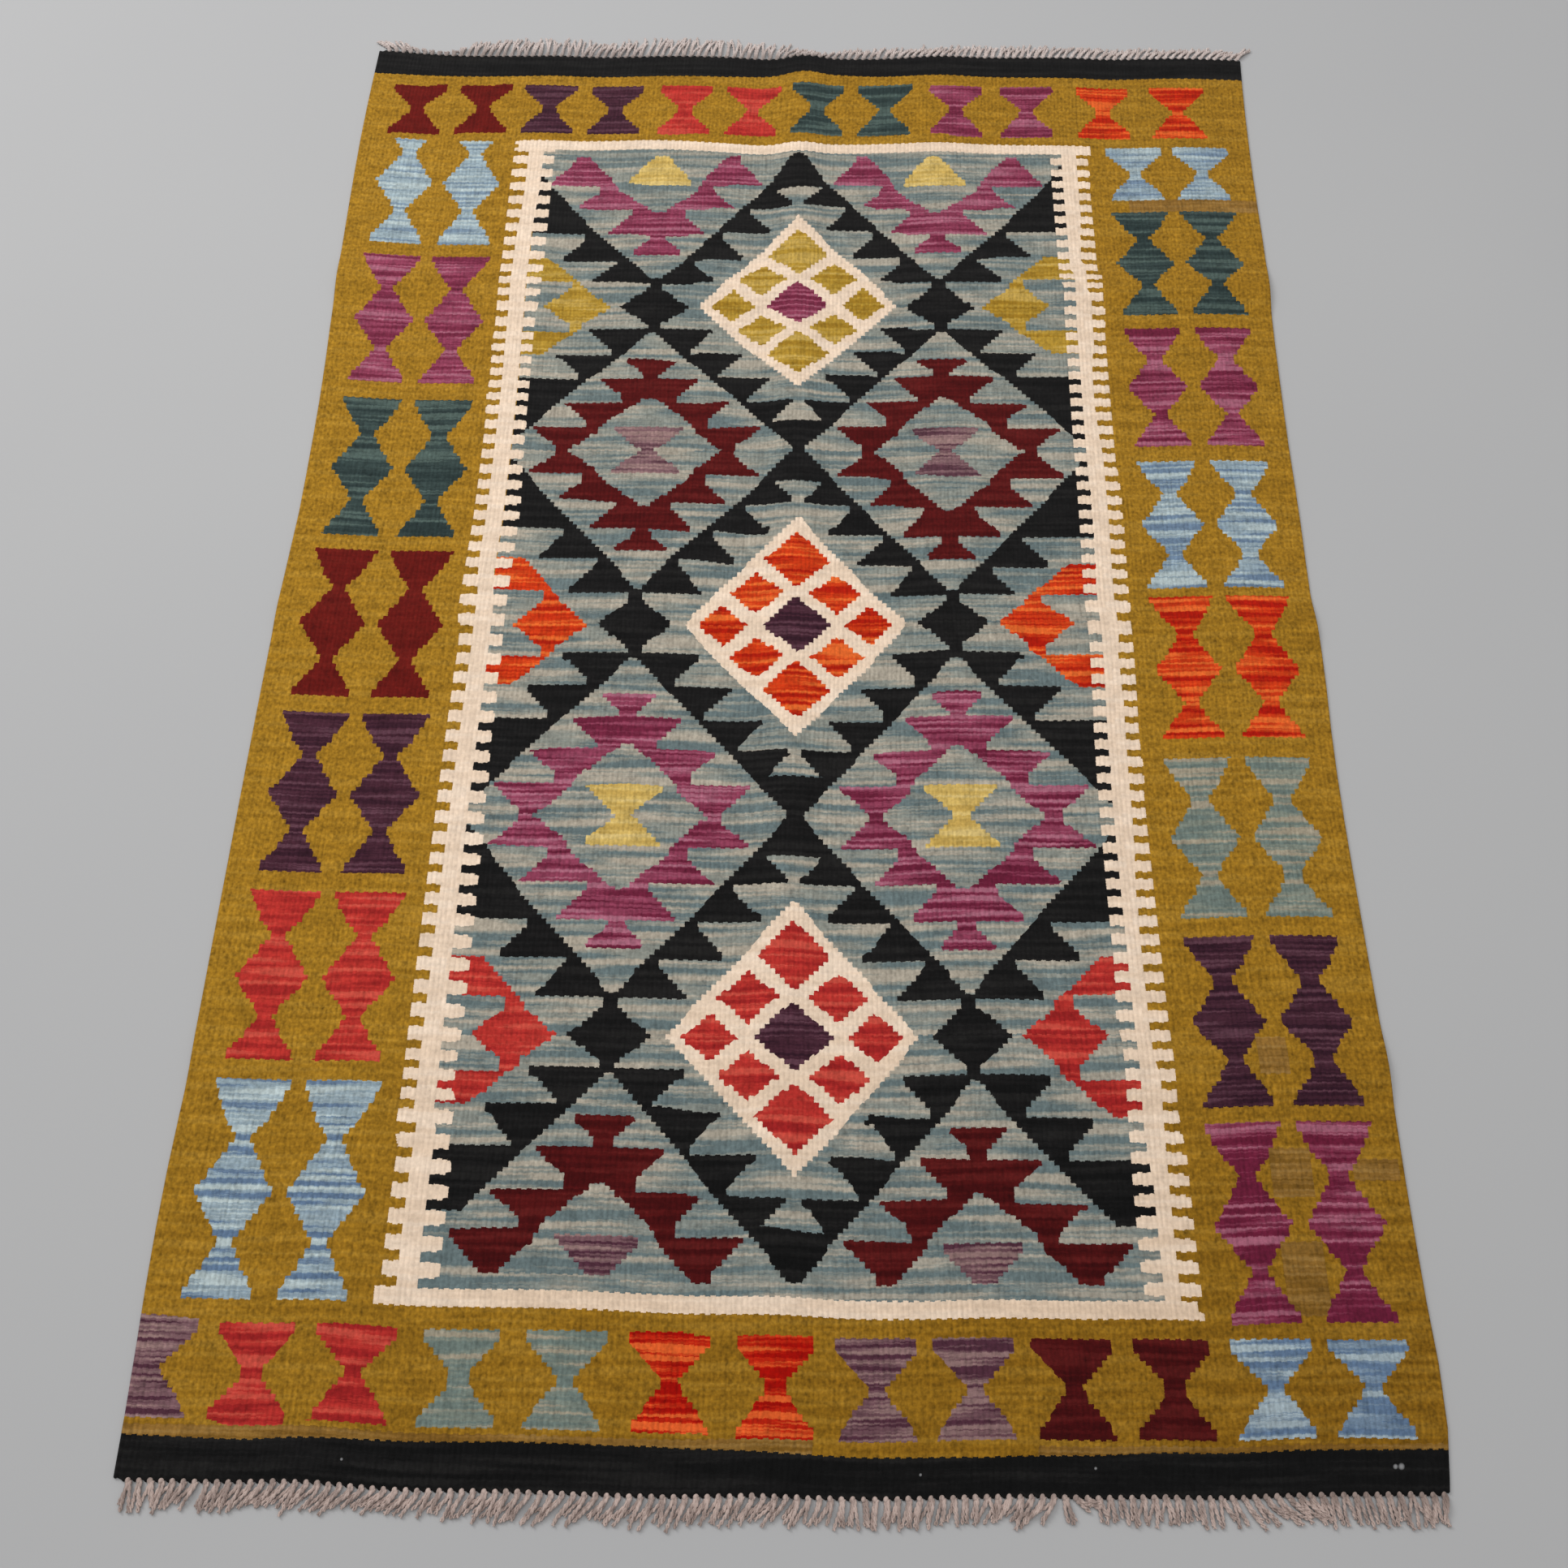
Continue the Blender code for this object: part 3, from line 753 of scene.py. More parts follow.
def yarn_number(x, y, drift):
    """The yarn and the patch at a place on the loom. drift is how far the weaver's hand has strayed there."""
    col = snapped(x, WARP_MM) + drift
    row = snapped(y, ROW_MM)
    inside = between(x, *FIELD_ACROSS) * between(y, *FIELD_UP)
    yarn, patch = field_yarns(col, row)
    yarn = choose(inside, yarn, border_yarns(col, row))
    yarn = choose(frame_cream(col, y), YARN["cream"], yarn)
    yarn = choose(between(y, bends(col, NEAR_BAND), bends(col, FAR_BAND)), yarn, YARN["black"])
    return yarn, patch * inside


print("field:", FIELD_ACROSS[1] - FIELD_ACROSS[0], "by", FIELD_UP[1] - FIELD_UP[0], "mm")


# %% [markdown]
# ## The wool
#
# Hand-dyed wool is never one colour. A skein comes out of the pot in lighter and darker lengths, so the
# colour of a patch changes in streaks along the weft, a few millimetres tall. Weavers call it abrash. Each
# yarn therefore has three colours: its own, a darker length and a paler length. Noise that is stretched
# along the weft picks between them. Two lookups on the yarn number would do for two colours, and three give
# the streaks their depth.

# %% The dyes
def dye(red, green, blue):
    """A colour as the eye gives it, 0 to 255, turned to the linear light that shaders use."""
    return tuple(((c / 255 + 0.055) / 1.055) ** 2.4 if c > 10 else c / 255 / 12.92
                 for c in (red, green, blue)) + (1,)


# own colour, darker length, paler length, how streaky it is, how tall its streaks are in millimetres
OWN, DARKER, PALER, STREAKY, TALL = range(5)
DYES = {
    "mustard": ((160, 118, 33), (124, 87, 18), (181, 141, 57), 0.26, 7.0),
    "black": ((26, 25, 25), (16, 16, 16), (36, 35, 34), 0.6, 6.0),
    "cream": ((236, 212, 188), (218, 192, 166), (245, 227, 208), 0.35, 7.0),
    "field": ((140, 142, 133), (101, 115, 116), (173, 163, 147), 1.05, 7.0),
    "burgundy": ((86, 19, 19), (62, 10, 12), (104, 34, 32), 0.5, 6.0),
    "dark red": ((101, 23, 18), (84, 15, 12), (116, 34, 26), 0.35, 6.0),
    "aubergine": ((71, 38, 50), (49, 24, 36), (99, 65, 77), 0.8, 4.0),
    "coral": ((185, 52, 45), (152, 33, 33), (207, 87, 71), 0.75, 7.5),
    "plum": ((141, 63, 87), (103, 29, 53), (172, 108, 127), 0.92, 5.0),
    "teal": ((56, 70, 68), (37, 49, 49), (92, 109, 102), 0.75, 5.6),
    "light blue": ((151, 168, 175), (94, 116, 143), (190, 202, 200), 0.8, 5.2),
    "orange": ((205, 60, 20), (164, 15, 5), (234, 116, 50), 0.85, 6.2),
    "yellow": ((204, 174, 98), (186, 152, 75), (217, 193, 130), 0.7, 6.0),
    "mauve": ((129, 97, 101), (79, 45, 58), (156, 127, 122), 0.9, 3.9),
    "sage": ((127, 134, 122), (106, 119, 113), (160, 149, 129), 1.1, 5.4),
    "scarlet": ((202, 46, 18), (160, 11, 3), (234, 111, 50), 0.9, 4.2),
    "olive": ((175, 140, 52), (151, 114, 31), (195, 164, 88), 0.9, 6.5),
    "brown": ((147, 109, 52), (118, 84, 30), (163, 129, 74), 0.5, 4.0),
}


def yarn_lookup(number, which):
    """A ramp with one flat stop for every yarn. It holds a plain number as a tenth, to stay below 1."""
    node = number.tree.nodes.new("ShaderNodeValToRGB")
    ramp = node.color_ramp
    ramp.interpolation = "CONSTANT"
    while len(ramp.elements) > 1:
        ramp.elements.remove(ramp.elements[0])
    for k, name in enumerate(YARNS):
        stop = ramp.elements[0] if k == 0 else ramp.elements.new(k / 32)
        stop.position = k / 32
        value = DYES[name][which]
        stop.color = dye(*value) if isinstance(value, tuple) else (value / 10,) * 3 + (1,)
    plug(number.tree, (number + 0.5) / 32, node.inputs["Fac"])
    return Wire(number.tree, node.outputs["Color"])


def is_yarn(number, name):
    return absolute(number - YARN[name]) < 0.5


def mix_colour(mask, yes, no, blend="MIX"):
    return add_node(tree_of(mask, yes, no), "ShaderNodeMix", {"data_type": "RGBA", "blend_type": blend},
                    {0: mask, 6: no, 7: yes}, output=2)


print("dyes for", len(DYES), "yarns")

# %% [markdown]
# Much of what makes wool look like wool is noise, stretched to the size of what it stands for. `GRAINS`
# lists every noise of the scene, so that all the sizes can be read and changed in one place.

# %% The grain of everything
# where in the noise it is read, how wide and how tall its grain is in millimetres, detail, roughness
GRAINS = {
    "hand across": (3.0, 70, 50, 1.0, 0.5),
    "hand up": (8.0, 55, 60, 1.0, 0.5),
    "fray": (4.0, 1.1, 1.1, 1.0, 0.5),
    "zigzag": (2.0, 30, 30, 0.0, 0.5),
    "streak wave": (11.0, 60, 34, 1.0, 0.5),
    "broad streak": (0.0, 130, 1.0, 1.0, 0.5),
    "fine streak": (0.0, 50, 1.6, 1.0, 0.5),
    "mottle": (1.0, 3.4, 3.8, 1.0, 0.6),
    "worn": (6.0, 16, 20, 3.0, 0.9),
    "column": (9.0, 2.1, 26, 0.0, 0.5),
    "fuzz": (5.0, 0.9, 0.9, 2.0, 0.7),
    "tuft": (0.0, 3.0, 10, 1.0, 0.5),
    "fibre": (0.0, 0.7, 0.9, 2.0, 0.5),
    "cloud": (0.0, 600, 600, 2.0, 0.5),
}


def noise(x, y, grain, z=None):
    """Noise from 0 to 1. A wire as z reads it elsewhere than the table says."""
    at, wide, tall, detail, rough = GRAINS[grain]
    place = add_node(x.tree, "ShaderNodeCombineXYZ", None, {0: x / wide, 1: y / tall, 2: z or at})
    return add_node(x.tree, "ShaderNodeTexNoise", None,
                    {"Vector": place, "Scale": 1.0, "Detail": detail, "Roughness": rough})


print(len(GRAINS), "grains, from", min(row[1] for row in GRAINS.values()), "to",
      max(row[1] for row in GRAINS.values()), "mm wide")

# %% [markdown]
# A streak is as long as its skein was, so it is one broad noise with a finer one over it, both much wider
# than tall. It stops where a patch stops, because the weaver took up another length of yarn there: the
# patch's number moves the noise to another part of itself. The colours are also darker towards the near right
# corner, partly a deeper dye and partly painted shade of the light that falls off there, and the streaks are
# stronger at the near end.

# %% How the colour runs
BAND_WAVE_MM = 2.2
FINE_SHARE = 0.28
STREAKS_NEAR, STREAKS_FAR = 1.04, 0.72
# where in the noise a length starts to show, and where it shows in full
DARK, PALE = (0.475, 0.39), (0.53, 0.615)
# how much darker, partly deeper dye and partly painted shade: near end, what the near right corner adds,
# right side, how far up the near end reaches
DYE_AND_SHADE_NEAR, DYE_AND_SHADE_CORNER, DYE_AND_SHADE_RIGHT, DYE_AND_SHADE_REACH = 0.30, 0.40, 0.18, 450
# how much of the paler length the full darkening of dye and painted shade hides
DYE_AND_SHADE_HIDES = 0.6


def streaks(x, y, number, patch):
    """How much of the darker and of the paler length shows at a place. The darker share also holds painted
    shade towards the near right corner.
    """
    wave = (noise(x, y, "streak wave") - 0.5) * BAND_WAVE_MM
    pick = (y + wave) / (yarn_lookup(number, TALL) * 10)
    # the factors of number only set the yarns far apart in the noise
    broad = noise(x + number * 37, pick, "broad streak", number * 3.7 + patch)
    fine = noise(x + number * 19, y + wave, "fine streak", number * 1.3 + patch)
    streak = broad + (fine - 0.5) * FINE_SHARE
    strength = STREAKS_NEAR - y * ((STREAKS_NEAR - STREAKS_FAR) / LENGTH_MM)
    depth = yarn_lookup(number, STREAKY) * 10 * strength
    right = x / WIDTH_MM
    near = ramp_between(y, DYE_AND_SHADE_REACH, 0)
    # painted shade of the light that falls off towards the near right, and partly a deeper dye
    deeper_dye_and_shade = near * (DYE_AND_SHADE_NEAR + DYE_AND_SHADE_CORNER * right) + DYE_AND_SHADE_RIGHT * right
    dark = smaller(ramp_between(streak, *DARK) * depth + deeper_dye_and_shade, 1)
    pale = ramp_between(streak, *PALE) * depth * (1 - deeper_dye_and_shade * DYE_AND_SHADE_HIDES)
    return dark, pale


heights = [row[TALL] for row in DYES.values()]
print("streaks between", min(heights), "and", max(heights), "mm tall")

# %% [markdown]
# The finished wool puts it together. The loom address comes from the `loom` UV map. A slow noise bends the
# pattern by a millimetre or so, as hands do. Neighbouring warps are covered by alternate wefts, so a colour
# change along the weft zigzags from warp to warp, more at some warps than at others, and a streak looks
# like a row of small dashes.
#
# Over the dye lies what spinning and use do to it: a fine mottle, worn places a centimetre or two wide and a
# shade of its own for every warp. The valleys between the warps are darkened with painted shade. The mottle
# is strongest on the mustard, and the cream is the most even. A few specks of lint have stuck to the near
# black band.

# %% The wool material
PICK_MM = 1.15
HAND_MM = 0.5
FRAY_MM = 1.5
ZIGZAG_MM = 1.6
DASH_MM = 0.5
# how strongly each thing shades the wool, and what is left of it on the cream; the valley term is painted
# shade between the warps
SHADE, MOTTLE, MORE_ON_MUSTARD, WORN, COLUMN, VALLEY_SHADE, CREAM_LESS = 1.02, 0.7, 0.65, 1.2, 0.3, 0.22, 0.45
# how strongly each thing stands out in the bump
BUMP_BEAD, BUMP_FUZZ, BUMP_MOTTLE, BUMP_VALLEY = 0.25, 1.2, 0.8, 0.3
# specks of lint: place on the loom, radius
LINT = ((959, 19, 2.0), (963.5, 19, 2.6), (169, 17.5, 1.2), (603, 16, 1.2), (734, 20, 1.2))
LINT_COLOUR = dye(136, 136, 137)


def new_material(name):
    material = bpy.data.materials.new(name)
    material.use_nodes = True
    material.node_tree.nodes.clear()
    return material


def finish_material(material, sockets):
    """Ends a material in a Principled shader with these links and plain values."""
    tree = material.node_tree
    shader = add_node(tree, "ShaderNodeBsdfPrincipled", None, sockets)
    out = tree.nodes.new("ShaderNodeOutputMaterial")
    tree.links.new(shader.socket, out.inputs["Surface"])
    print(material.name, "material:", len(tree.nodes), "nodes")
    return material


def wool_material():
    material = new_material("kilim wool")
    tree = material.node_tree
    x, y, _ = split(add_node(tree, "ShaderNodeUVMap", {"uv_map": "loom"}))

    warp = x / WARP_MM
    valley = squared(absolute(math_node("FRACT", warp) - 0.5) * 2)
    odd = math_node("FRACT", whole(warp) * 0.5) * 2
    drift = (noise(x, y, "hand across") - 0.5) * (2 * HAND_MM)
    sway = (noise(x, y, "hand up") - 0.5) * (2 * HAND_MM)
    fray = (noise(x, y, "fray") - 0.5) * FRAY_MM
    zigzag = (odd - 0.5) * noise(x, y, "zigzag") * ZIGZAG_MM
    number, patch = yarn_number(x + fray, y + sway + zigzag + fray, drift)

    dark, pale = streaks(x, y + (odd - 0.5) * DASH_MM + fray, number, patch)
    colour = yarn_lookup(number, OWN)
    colour = mix_colour(dark, yarn_lookup(number, DARKER), colour)
    colour = mix_colour(pale, yarn_lookup(number, PALER), colour)

    mottle, worn, column = (noise(x, y, grain) for grain in ("mottle", "worn", "column"))
    mottled = (mottle - 0.5) * (MOTTLE + is_yarn(number, "mustard") * MORE_ON_MUSTARD)
    uneven = mottled + (worn - 0.5) * WORN + (column - 0.5) * COLUMN
    # painted shade: the valleys between the warps are darker, broken up by the worn noise
    shade = uneven * (1 - is_yarn(number, "cream") * CREAM_LESS) + SHADE - valley * worn * VALLEY_SHADE
    grey = add_node(tree, "ShaderNodeCombineColor", None, {0: shade, 1: shade, 2: shade})
    colour = mix_colour(1.0, grey, colour, "MULTIPLY")

    lint = 0
    for speck_x, speck_y, radius in LINT:
        lint = larger(lint, 1 - (squared(x - speck_x) + squared(y - speck_y)) / (radius * radius))
    colour = mix_colour(lint, LINT_COLOUR, colour)

    bead = math_node("COSINE", (y / PICK_MM + odd * 0.5) * (2 * math.pi)) * 0.5 + 0.5
    relief = bead * (1 - valley) * BUMP_BEAD + noise(x, y, "fuzz") * BUMP_FUZZ
    relief = relief + mottle * BUMP_MOTTLE - valley * BUMP_VALLEY
    normal = add_node(tree, "ShaderNodeBump", None, {"Strength": 0.5, "Distance": 0.0006, "Height": relief})
    return finish_material(material, {
        "Base Color": colour, "Roughness": 0.9 + (mottle - 0.5) * 0.15, "Normal": normal,
        "Specular IOR Level": 0.05, "Sheen Weight": 0.03, "Sheen Roughness": 0.6})


wool = wool_material()


# %% [markdown]
# ## The ribs of the warps
#
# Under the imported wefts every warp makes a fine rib, 240 of them from side to side. They follow one rule
# all over the cloth, so Geometry Nodes raises them: it reads each point's loom address, and sinks the
# points between two warps. The sizes are named inputs of the tree, and a rib's rounded top comes from the
# grid's four columns to a warp.

# %% Ribs by Geometry Nodes
def new_geometry_tree(name, inputs):
    """A tree with a geometry input and output and named number inputs: name, standard value."""
    tree = bpy.data.node_groups.new(name, "GeometryNodeTree")
    tree.interface.new_socket("Geometry", in_out="INPUT", socket_type="NodeSocketGeometry")
    for label, standard in inputs:
        kind = "NodeSocketInt" if isinstance(standard, int) else "NodeSocketFloat"
        socket = tree.interface.new_socket(label, in_out="INPUT", socket_type=kind)
        socket.default_value = standard
    tree.interface.new_socket("Geometry", in_out="OUTPUT", socket_type="NodeSocketGeometry")
    start = tree.nodes.new("NodeGroupInput")
    given = {socket.name: Wire(tree, socket) for socket in start.outputs if socket.name}
    return tree, given


def close_geometry_tree(tree, geometry, material):
    """Realize Instances, then Set Material, then out."""
    real = add_node(tree, "GeometryNodeRealizeInstances", None, {0: geometry})
    painted = add_node(tree, "GeometryNodeSetMaterial", None, {0: real})
    painted.socket.node.inputs["Material"].default_value = material
    end = tree.nodes.new("NodeGroupOutput")
    tree.links.new(painted.socket, end.inputs[0])


def grow(obj, tree, values):
    """Runs a tree on an object, keeps the result as its plain mesh, and takes the modifier away."""
    modifier = obj.modifiers.new(tree.name, "NODES")
    modifier.node_group = tree
    for item in tree.interface.items_tree:
        if item.in_out == "INPUT" and item.name in values:
            modifier[item.identifier] = values[item.name]
    seen = obj.evaluated_get(bpy.context.evaluated_depsgraph_get())
    mesh = bpy.data.meshes.new_from_object(seen, preserve_all_data_layers=True,
                                           depsgraph=bpy.context.evaluated_depsgraph_get())
    obj.modifiers.clear()
    obj.data = mesh
    return mesh


def rib_tree(material):
    tree, given = new_geometry_tree("warp ribs", (("Warp pitch", 4.0), ("Rib height", 0.0003),
                                                  ("Rim width", 2.0)))
    x, y, _ = split(add_node(tree, "GeometryNodeInputNamedAttribute", {"data_type": "FLOAT_VECTOR"},
                             {"Name": "loom"}))
    valley = math_node("COSINE", x / given["Warp pitch"] * (2 * math.pi)) * 0.5 + 0.5
    inward = smaller(smaller(x, WIDTH_MM - x), smaller(y, LENGTH_MM - y)) / given["Rim width"]
    fade = smaller(larger(inward - 0.4, 0), 1)
    on_top = split(add_node(tree, "GeometryNodeInputNormal"))[2] > 0.5
    drop = valley * fade * on_top * given["Rib height"] * -1
    shift = add_node(tree, "ShaderNodeCombineXYZ", None, {2: drop})
    moved = add_node(tree, "GeometryNodeSetPosition", None, {0: given["Geometry"], "Offset": shift})
    close_geometry_tree(tree, moved, material)
    return tree


RIB_HEIGHT = 0.00032
sheet_mesh.materials.append(wool)
ribbed = grow(cloth, rib_tree(wool),
              {"Warp pitch": WARP_MM, "Rib height": RIB_HEIGHT, "Rim width": RIM * 1000})
ribbed.name = "kilim cloth"
print("ribbed cloth:", len(ribbed.vertices), "points, UV maps", [layer.name for layer in ribbed.uv_layers])


# %% [markdown]
# ## The fringe
#
# At both ends the cut warps are knotted in pairs against the last weft and left about 25 mm long. The rug
# was shaken out and laid down, so the strands lean together in tufts, part in gaps and cross one another.
# How they lie is told by two tables: the lean in degrees from straight out, and the length, at places
# across the rug. A strand is drawn first as a bare line along its middle, because a line is easy to bend
# and to lay on the floor.

# %% How the fringe was brushed
# place across, lean to the right in degrees, length
NEAR_FRINGE = (
    (0, -8, 22.5), (25, -4, 20.5), (45, -30, 21.5), (58, -52, 23), (70, -26, 20), (100, -46, 24),
    (160, -50, 24.5), (215, -54, 23.5), (240, -28, 20), (300, -48, 23.5), (400, -45, 23), (450, -34, 21),
    (485, -46, 22), (530, -20, 20), (565, -8, 19.5), (610, -24, 20), (645, -2, 18.5), (675, -40, 22),
    (705, -44, 22), (722, 60, 12), (740, 6, 16), (780, 2, 19), (820, 20, 20), (850, 46, 24), (885, 44, 24),
    (905, 10, 21), (950, 8, 22), (975, 6, 21.5), (1000, -8, 20))
FAR_FRINGE = (
    (0, -54, 26), (30, -40, 20), (55, -30, 8), (85, 0, 7), (110, 14, 22), (200, 8, 27), (260, 20, 25),
    (330, 14, 29), (400, 10, 27), (460, 10, 25), (485, 46, 19), (510, 36, 12), (560, 26, 18),
    (640, 36, 19), (720, 20, 19), (800, 38, 20), (880, 34, 19), (950, 40, 20), (1000, 62, 22))
KNOTS = round(WIDTH / KNOT_PITCH)
YARN_RADIUS = 0.00135
LINE_POINTS = 8
YARNS_A_KNOT = 3
# in metres: the knot outside the last weft, its yarns' height above the floor and distance from each other
KNOT_OUT, YARN_UP, YARN_APART = 0.0004, 0.0022, 0.0009
# how high each yarn of a knot arches over what lies under it
ARCHES = (0.0, 0.0009, 0.0020)
# share of a strand's length in which it comes down to the floor, and how high its middle then lies
SETTLED = 0.45
LYING = YARN_RADIUS * 1.25


def knot_place(across, outward):
    """Where a knot sits: beside the last weft, at the height of the cloth there."""
    up = 0.0 if outward < 0 else LENGTH
    x, y = to_floor(across, up)
    return Vector((x, y + outward * KNOT_OUT, float(crease_lift(np.array(across), np.array(up)))))


def strand_line(start, lean, reach, outward, rng, arch):
    """Points of one strand's middle, from its knot down to the floor and out to its cut end."""
    place = start.copy()
    # it leaves the knot with a quarter of its lean, has all of it halfway, and bends and waves a little
    bend = rng.uniform(-0.2, 0.3)
    wave = rng.uniform(0, 6.3)
    line = [place.copy()]
    for k in range(1, LINE_POINTS):
        done = k / (LINE_POINTS - 1)
        heading = math.radians(lean) * min(0.25 + done * 1.6, 1) + bend * done * done
        heading += 0.10 * math.sin(wave + done * 4)
        place.x += reach / (LINE_POINTS - 1) * math.sin(heading)
        place.y += reach / (LINE_POINTS - 1) * math.cos(heading) * outward
        settle = max(0.0, 1 - done / SETTLED) ** 1.3
        place.z = LYING + (start.z - LYING) * settle + arch * math.sin(math.pi * min(done * 1.1, 1))
        line.append(place.copy())
    return line


def fringe_lines(rows, outward, seed):
    """Every strand's line, with how far along each point is, and a number of its own."""
    rng = random.Random(seed)
    points, edges, along, own = [], [], [], []
    tuft_lean, tuft_left = 0.0, 0
    for k in range(1, KNOTS):
        across = (k + 0.5) * KNOT_PITCH
        if tuft_left <= 0:
            tuft_lean, tuft_left = rng.uniform(-9, 9), rng.randint(2, 7)
        tuft_left -= 1
        for ply in range(YARNS_A_KNOT):
            fan = (ply - 1) * rng.uniform(1, 13)
            lean = float(smooth_table(rows, across * 1000)) + tuft_lean + fan + rng.gauss(0, 6)
            reach = float(smooth_table(rows, across * 1000, 2)) / 1000 * rng.uniform(0.80, 1.13)
            start = knot_place(across, outward) + Vector(((ply - 1) * YARN_APART, 0, YARN_UP))
            line = strand_line(start, lean, reach, outward, rng, ARCHES[ply])
            first = len(points)
            number = rng.random()
            points += line
            edges += [(first + i, first + i + 1) for i in range(len(line) - 1)]
            along += [i / (len(line) - 1) for i in range(len(line))]
            own += [number] * len(line)
    return points, edges, along, own


def line_object(name, points, edges, along, own):
    mesh = bpy.data.meshes.new(name)
    mesh.from_pydata([tuple(p) for p in points], edges, [])
    for label, values in (("along", along), ("own", own)):
        layer = mesh.attributes.new(label, "FLOAT", "POINT")
        layer.data.foreach_set("value", values)
    return add_object(name, mesh)


near_fringe = line_object("near_fringe", *fringe_lines(NEAR_FRINGE, -1, 5))
far_fringe = line_object("far_fringe", *fringe_lines(FAR_FRINGE, 1, 8))
print("strand lines:", YARNS_A_KNOT * (KNOTS - 1), "at each end")

# %% [markdown]
# The yarn of a strand is two plies twisted round each other, and every strand is made the same way, so
# Geometry Nodes does it. Each line becomes two curves that wind round it, and each curve becomes a thin
# tube. The knots are one small rounded lump, set on the first point of every third line. Tubes with six
# sides are enough at this size.

# %% Twisted yarn and knots by Geometry Nodes
def named_number(tree, name):
    return add_node(tree, "GeometryNodeInputNamedAttribute", {"data_type": "FLOAT"}, {"Name": name})


def vector_math(operation, sockets):
    return add_node(tree_of(*sockets.values()), "ShaderNodeVectorMath", {"operation": operation}, sockets)


def yarn_tree(material):
    tree, given = new_geometry_tree("twisted yarn", (("Yarn radius", 0.001), ("Turn length", 0.008),
                                                     ("Knot radius", 0.0018), ("Seed", 3)))
    line = add_node(tree, "GeometryNodeMeshToCurve", None, {0: given["Geometry"]})
    line = add_node(tree, "GeometryNodeResampleCurve", None, {"Curve": line, "Count": 12})
    factor = tree.nodes.new("GeometryNodeSplineParameter")
    gone, length = Wire(tree, factor.outputs[0]), Wire(tree, factor.outputs[1])
    own = named_number(tree, "own")
    tangent = add_node(tree, "GeometryNodeInputTangent")
    sideways = vector_math("CROSS_PRODUCT", {0: tangent, 1: (0.0, 0.0, 1.0)})
    sideways = vector_math("NORMALIZE", {0: sideways})
    parts = tree.nodes.new("GeometryNodeJoinGeometry")
    # two plies wind at half the yarn's radius, and come looser and thinner towards the cut end
    for ply in (0, 1):
        angle = length / given["Turn length"] * (2 * math.pi) + own * 6.283 + ply * math.pi
        spread = given["Yarn radius"] * (0.46 + gone * gone * 0.35)
        side = vector_math("SCALE", {0: sideways, "Scale": math_node("COSINE", angle) * spread})
        rise = add_node(tree, "ShaderNodeCombineXYZ", None, {2: math_node("SINE", angle) * spread * 0.6})
        wound = add_node(tree, "GeometryNodeSetPosition", None,
                         {0: line, "Offset": vector_math("ADD", {0: side, 1: rise})})
        radius = given["Yarn radius"] * (0.74 - gone * gone * 0.2)
        wound = add_node(tree, "GeometryNodeSetCurveRadius", None, {0: wound, "Radius": radius})
        profile = add_node(tree, "GeometryNodeCurvePrimitiveCircle", None, {"Resolution": 6, "Radius": 1.0})
        tube = add_node(tree, "GeometryNodeCurveToMesh", None,
                        {0: wound, 1: profile, "Scale": radius, "Fill Caps": True})
        tree.links.new(tube.socket, parts.inputs[0])
    index = add_node(tree, "GeometryNodeInputIndex")
    every = math_node("FLOORED_MODULO", index, YARNS_A_KNOT * LINE_POINTS) < 0.5
    at_knot = every * (named_number(tree, "along") < 0.01)
    starts = add_node(tree, "GeometryNodeMeshToPoints", None, {0: given["Geometry"], 1: at_knot})
    lump = add_node(tree, "GeometryNodeMeshIcoSphere", None,
                    {"Radius": given["Knot radius"], "Subdivisions": 2})
    turn = add_node(tree, "FunctionNodeRandomValue", {"data_type": "FLOAT_VECTOR"},
                    {0: (-0.2, -0.2, -0.4), 1: (0.2, 0.2, 0.4), "Seed": given["Seed"]})
    stretch = add_node(tree, "FunctionNodeRandomValue", {"data_type": "FLOAT_VECTOR"},
                       {0: (0.90, 1.0, 0.65), 1: (1.10, 1.3, 0.85), "Seed": given["Seed"]})
    knots = add_node(tree, "GeometryNodeInstanceOnPoints", None,
                     {"Points": starts, "Instance": lump, "Rotation": turn, "Scale": stretch})
    tree.links.new(knots.socket, parts.inputs[0])
    close_geometry_tree(tree, Wire(tree, parts.outputs[0]), material)
    return tree


# %% The colour of the undyed yarn
# near end, far end; the near end's darker colours are painted shade
TUFT_DARK = (dye(128, 106, 97), dye(176, 161, 155))
TUFT_PALE = (dye(184, 161, 151), dye(206, 193, 188))
FIBRE_PALE = dye(218, 203, 196)
ROOT_SHADE = dye(96, 82, 75)


def object_place(tree):
    """Object coordinates, in millimetres."""
    return [part * 1000 for part in split(add_node(tree, "ShaderNodeTexCoord", output="Object"))]


def yarn_material():
    """Undyed wool warp: grey-pink in random tufts, with painted shade near the knots, paler and greyer at the
    far end; the near end's darker colours are painted shade.
    """
    material = new_material("warp yarn")
    tree = material.node_tree
    x, y, z = object_place(tree)
    tuft = ramp_between(noise(x, y, "tuft", z / 9), 0.38, 0.62)
    fibre = noise(x, y, "fibre", z)
    # painted shade near the knots, where the strands crowd and shade one another
    root = ramp_between(absolute(y) - LENGTH_MM / 2, 9, -1)
    dark, pale = (mix_colour(y > 0, far, near) for near, far in (TUFT_DARK, TUFT_PALE))
    colour = mix_colour(tuft, pale, dark)
    colour = mix_colour(fibre * 0.45, FIBRE_PALE, colour)
    colour = mix_colour(root * 0.55, ROOT_SHADE, colour)
    bump = add_node(tree, "ShaderNodeBump", None, {"Strength": 0.6, "Distance": 0.0004, "Height": fibre})
    return finish_material(material, {"Base Color": colour, "Roughness": fibre * 0.1 + 0.8, "Normal": bump,
                                      "Sheen Weight": 0.2, "Specular IOR Level": 0.2})


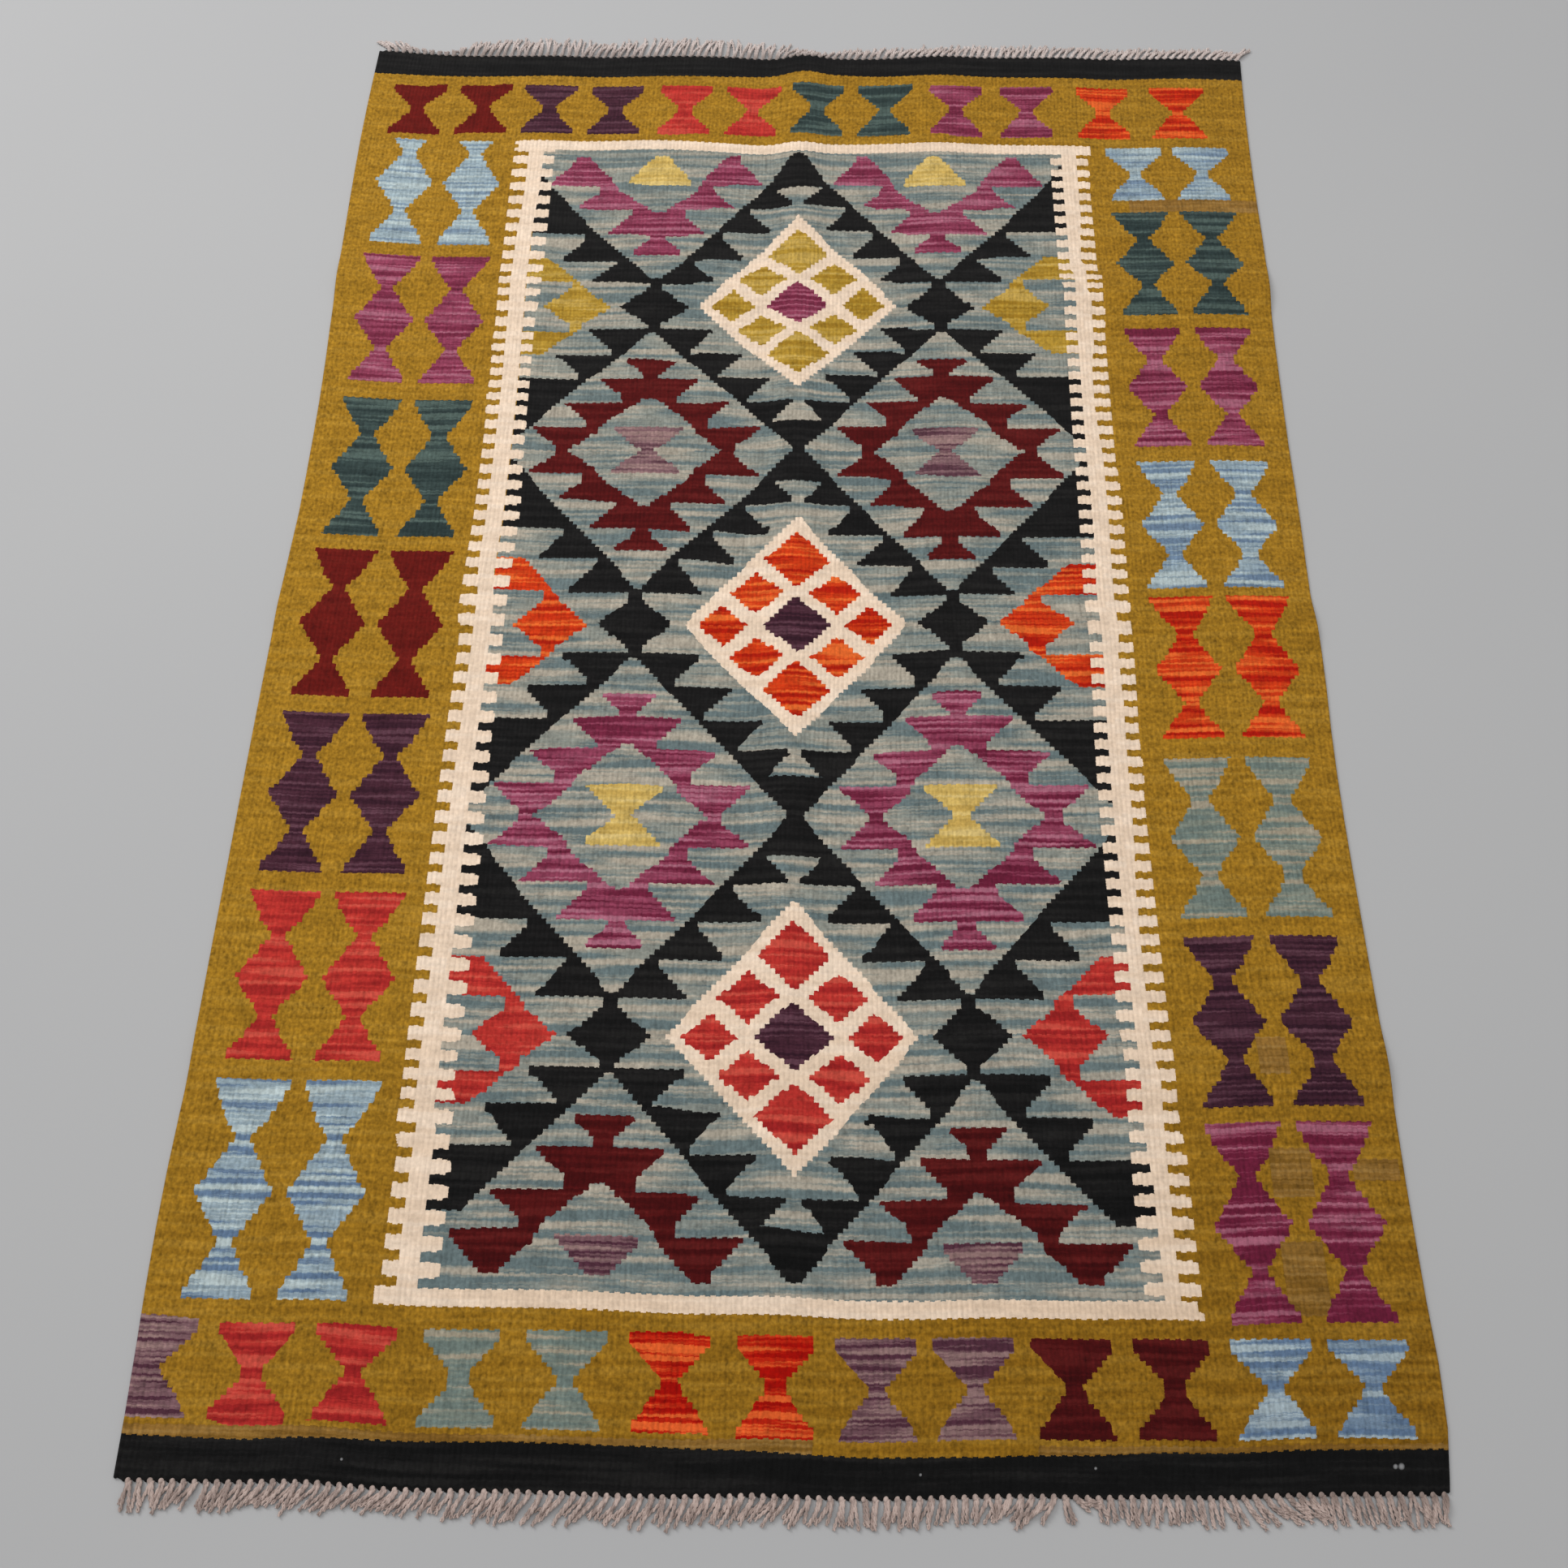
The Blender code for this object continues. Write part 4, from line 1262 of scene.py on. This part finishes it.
# %% Both fringes
FRINGE_SIZES = {"Yarn radius": YARN_RADIUS, "Turn length": 0.0085, "Knot radius": 0.0022, "Seed": 3}
fringe_tree = yarn_tree(yarn_material())
for fringe in (near_fringe, far_fringe):
    mesh = grow(fringe, fringe_tree, FRINGE_SIZES)
    mesh.shade_smooth()
    print(fringe.name, len(mesh.polygons), "faces,", sum(len(face.vertices) - 2 for face in mesh.polygons),
          "triangles")


# %% [markdown]
# ## Floor, light and camera
#
# The rug is shown on a plain pale floor in soft studio light. The camera stands where the photographer
# stood: high over the near end, looking down at about 65 degrees, so the far end looks narrower. The floor
# gets paler far from the rug, where the lamps no longer reach, so that it meets the background softly.

# %% The floor
FLOOR_SIZE = 24.0
# millimetres from the rug's middle
PALER_FROM, PALEST_FROM = 1600, 5000


def floor_material():
    material = new_material("studio floor")
    x, y, _ = object_place(material.node_tree)
    distance = math_node("SQRT", squared(x) + squared(y))
    colour = mix_colour(noise(x, y, "cloud"), dye(182, 182, 182), dye(176, 176, 177))
    colour = mix_colour(ramp_between(distance, PALER_FROM, PALEST_FROM), dye(240, 240, 240), colour)
    return finish_material(material, {"Base Color": colour, "Roughness": 0.9, "Specular IOR Level": 0.1})


floor_mesh = bpy.data.meshes.new("studio floor")
h = FLOOR_SIZE / 2
floor_mesh.from_pydata([(-h, -h, 0), (h, -h, 0), (h, h, 0), (-h, h, 0)], [], [(0, 1, 2, 3)])
floor = add_object("studio_floor", floor_mesh)
floor_mesh.materials.append(floor_material())
print("floor", FLOOR_SIZE, "m square")

# %% Soft studio light
def area_light(name, place, target, size, power):
    light = bpy.data.lights.new(name, "AREA")
    light.shape = "SQUARE"
    light.size = size
    light.energy = power
    obj = add_object(name, light)
    aim = Vector(target) - Vector(place)
    obj.matrix_world = Matrix.Translation(place) @ aim.to_track_quat("-Z", "Y").to_matrix().to_4x4()


area_light("window side", (-2.2, 1.6, 2.6), (0, 0.2, 0), 1.8, 62)
area_light("ceiling", (0.3, 0.4, 3.4), (0, 0, 0), 3.2, 46)
world = bpy.data.worlds.new("studio")
bpy.context.scene.world = world
world.use_nodes = True
background = world.node_tree.nodes["Background"]
background.inputs["Color"].default_value = (1, 1, 1, 1)
background.inputs["Strength"].default_value = 0.42
bpy.context.scene.view_settings.view_transform = "Standard"

# %% [markdown]
# The camera's place and direction were worked out from the rug's four corners in the photo, which show how
# wide and how deep a known rectangle looks. The photo is square, 1932 pixels a side.

# %% The camera
PHOTO_PIXELS = 1932
FOCAL_PIXELS = 1935
SENSOR_MM = 36.0
EYE = Vector((0.49771, -0.02412, 1.29102)) + NEAR_LEFT
RIGHT = Vector((0.99981, 0.01916, 0.00307))
DOWN = Vector((0.01866, -0.90571, -0.42349))
LOOK = Vector((-0.00533, 0.42347, -0.90590))
lens = bpy.data.cameras.new("photo camera")
lens.sensor_fit = "HORIZONTAL"
lens.sensor_width = SENSOR_MM
lens.lens = SENSOR_MM * FOCAL_PIXELS / PHOTO_PIXELS
lens.clip_start = 0.05
lens.clip_end = 60
camera = add_object("photo camera", lens)
turn = Matrix((RIGHT, -DOWN, -LOOK)).transposed().to_quaternion().to_matrix().to_4x4()
camera.matrix_world = Matrix.Translation(EYE) @ turn
bpy.context.scene.camera = camera
print("camera at", [round(v, 3) for v in EYE], "lens", round(lens.lens, 2), "mm")

# %% [markdown]
#
# Every piece rides on the one body. The cloth and the two fringes stand for the plain solids of the packed
# model.

# %% Pieces on the body
for piece, node, slot in ((cloth, "rug_cloth", "wool_weave"), (near_fringe, "fringe_near", "warp_yarn"),
                          (far_fringe, "fringe_far", "warp_yarn")):
    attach(piece, "root")
    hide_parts(node)
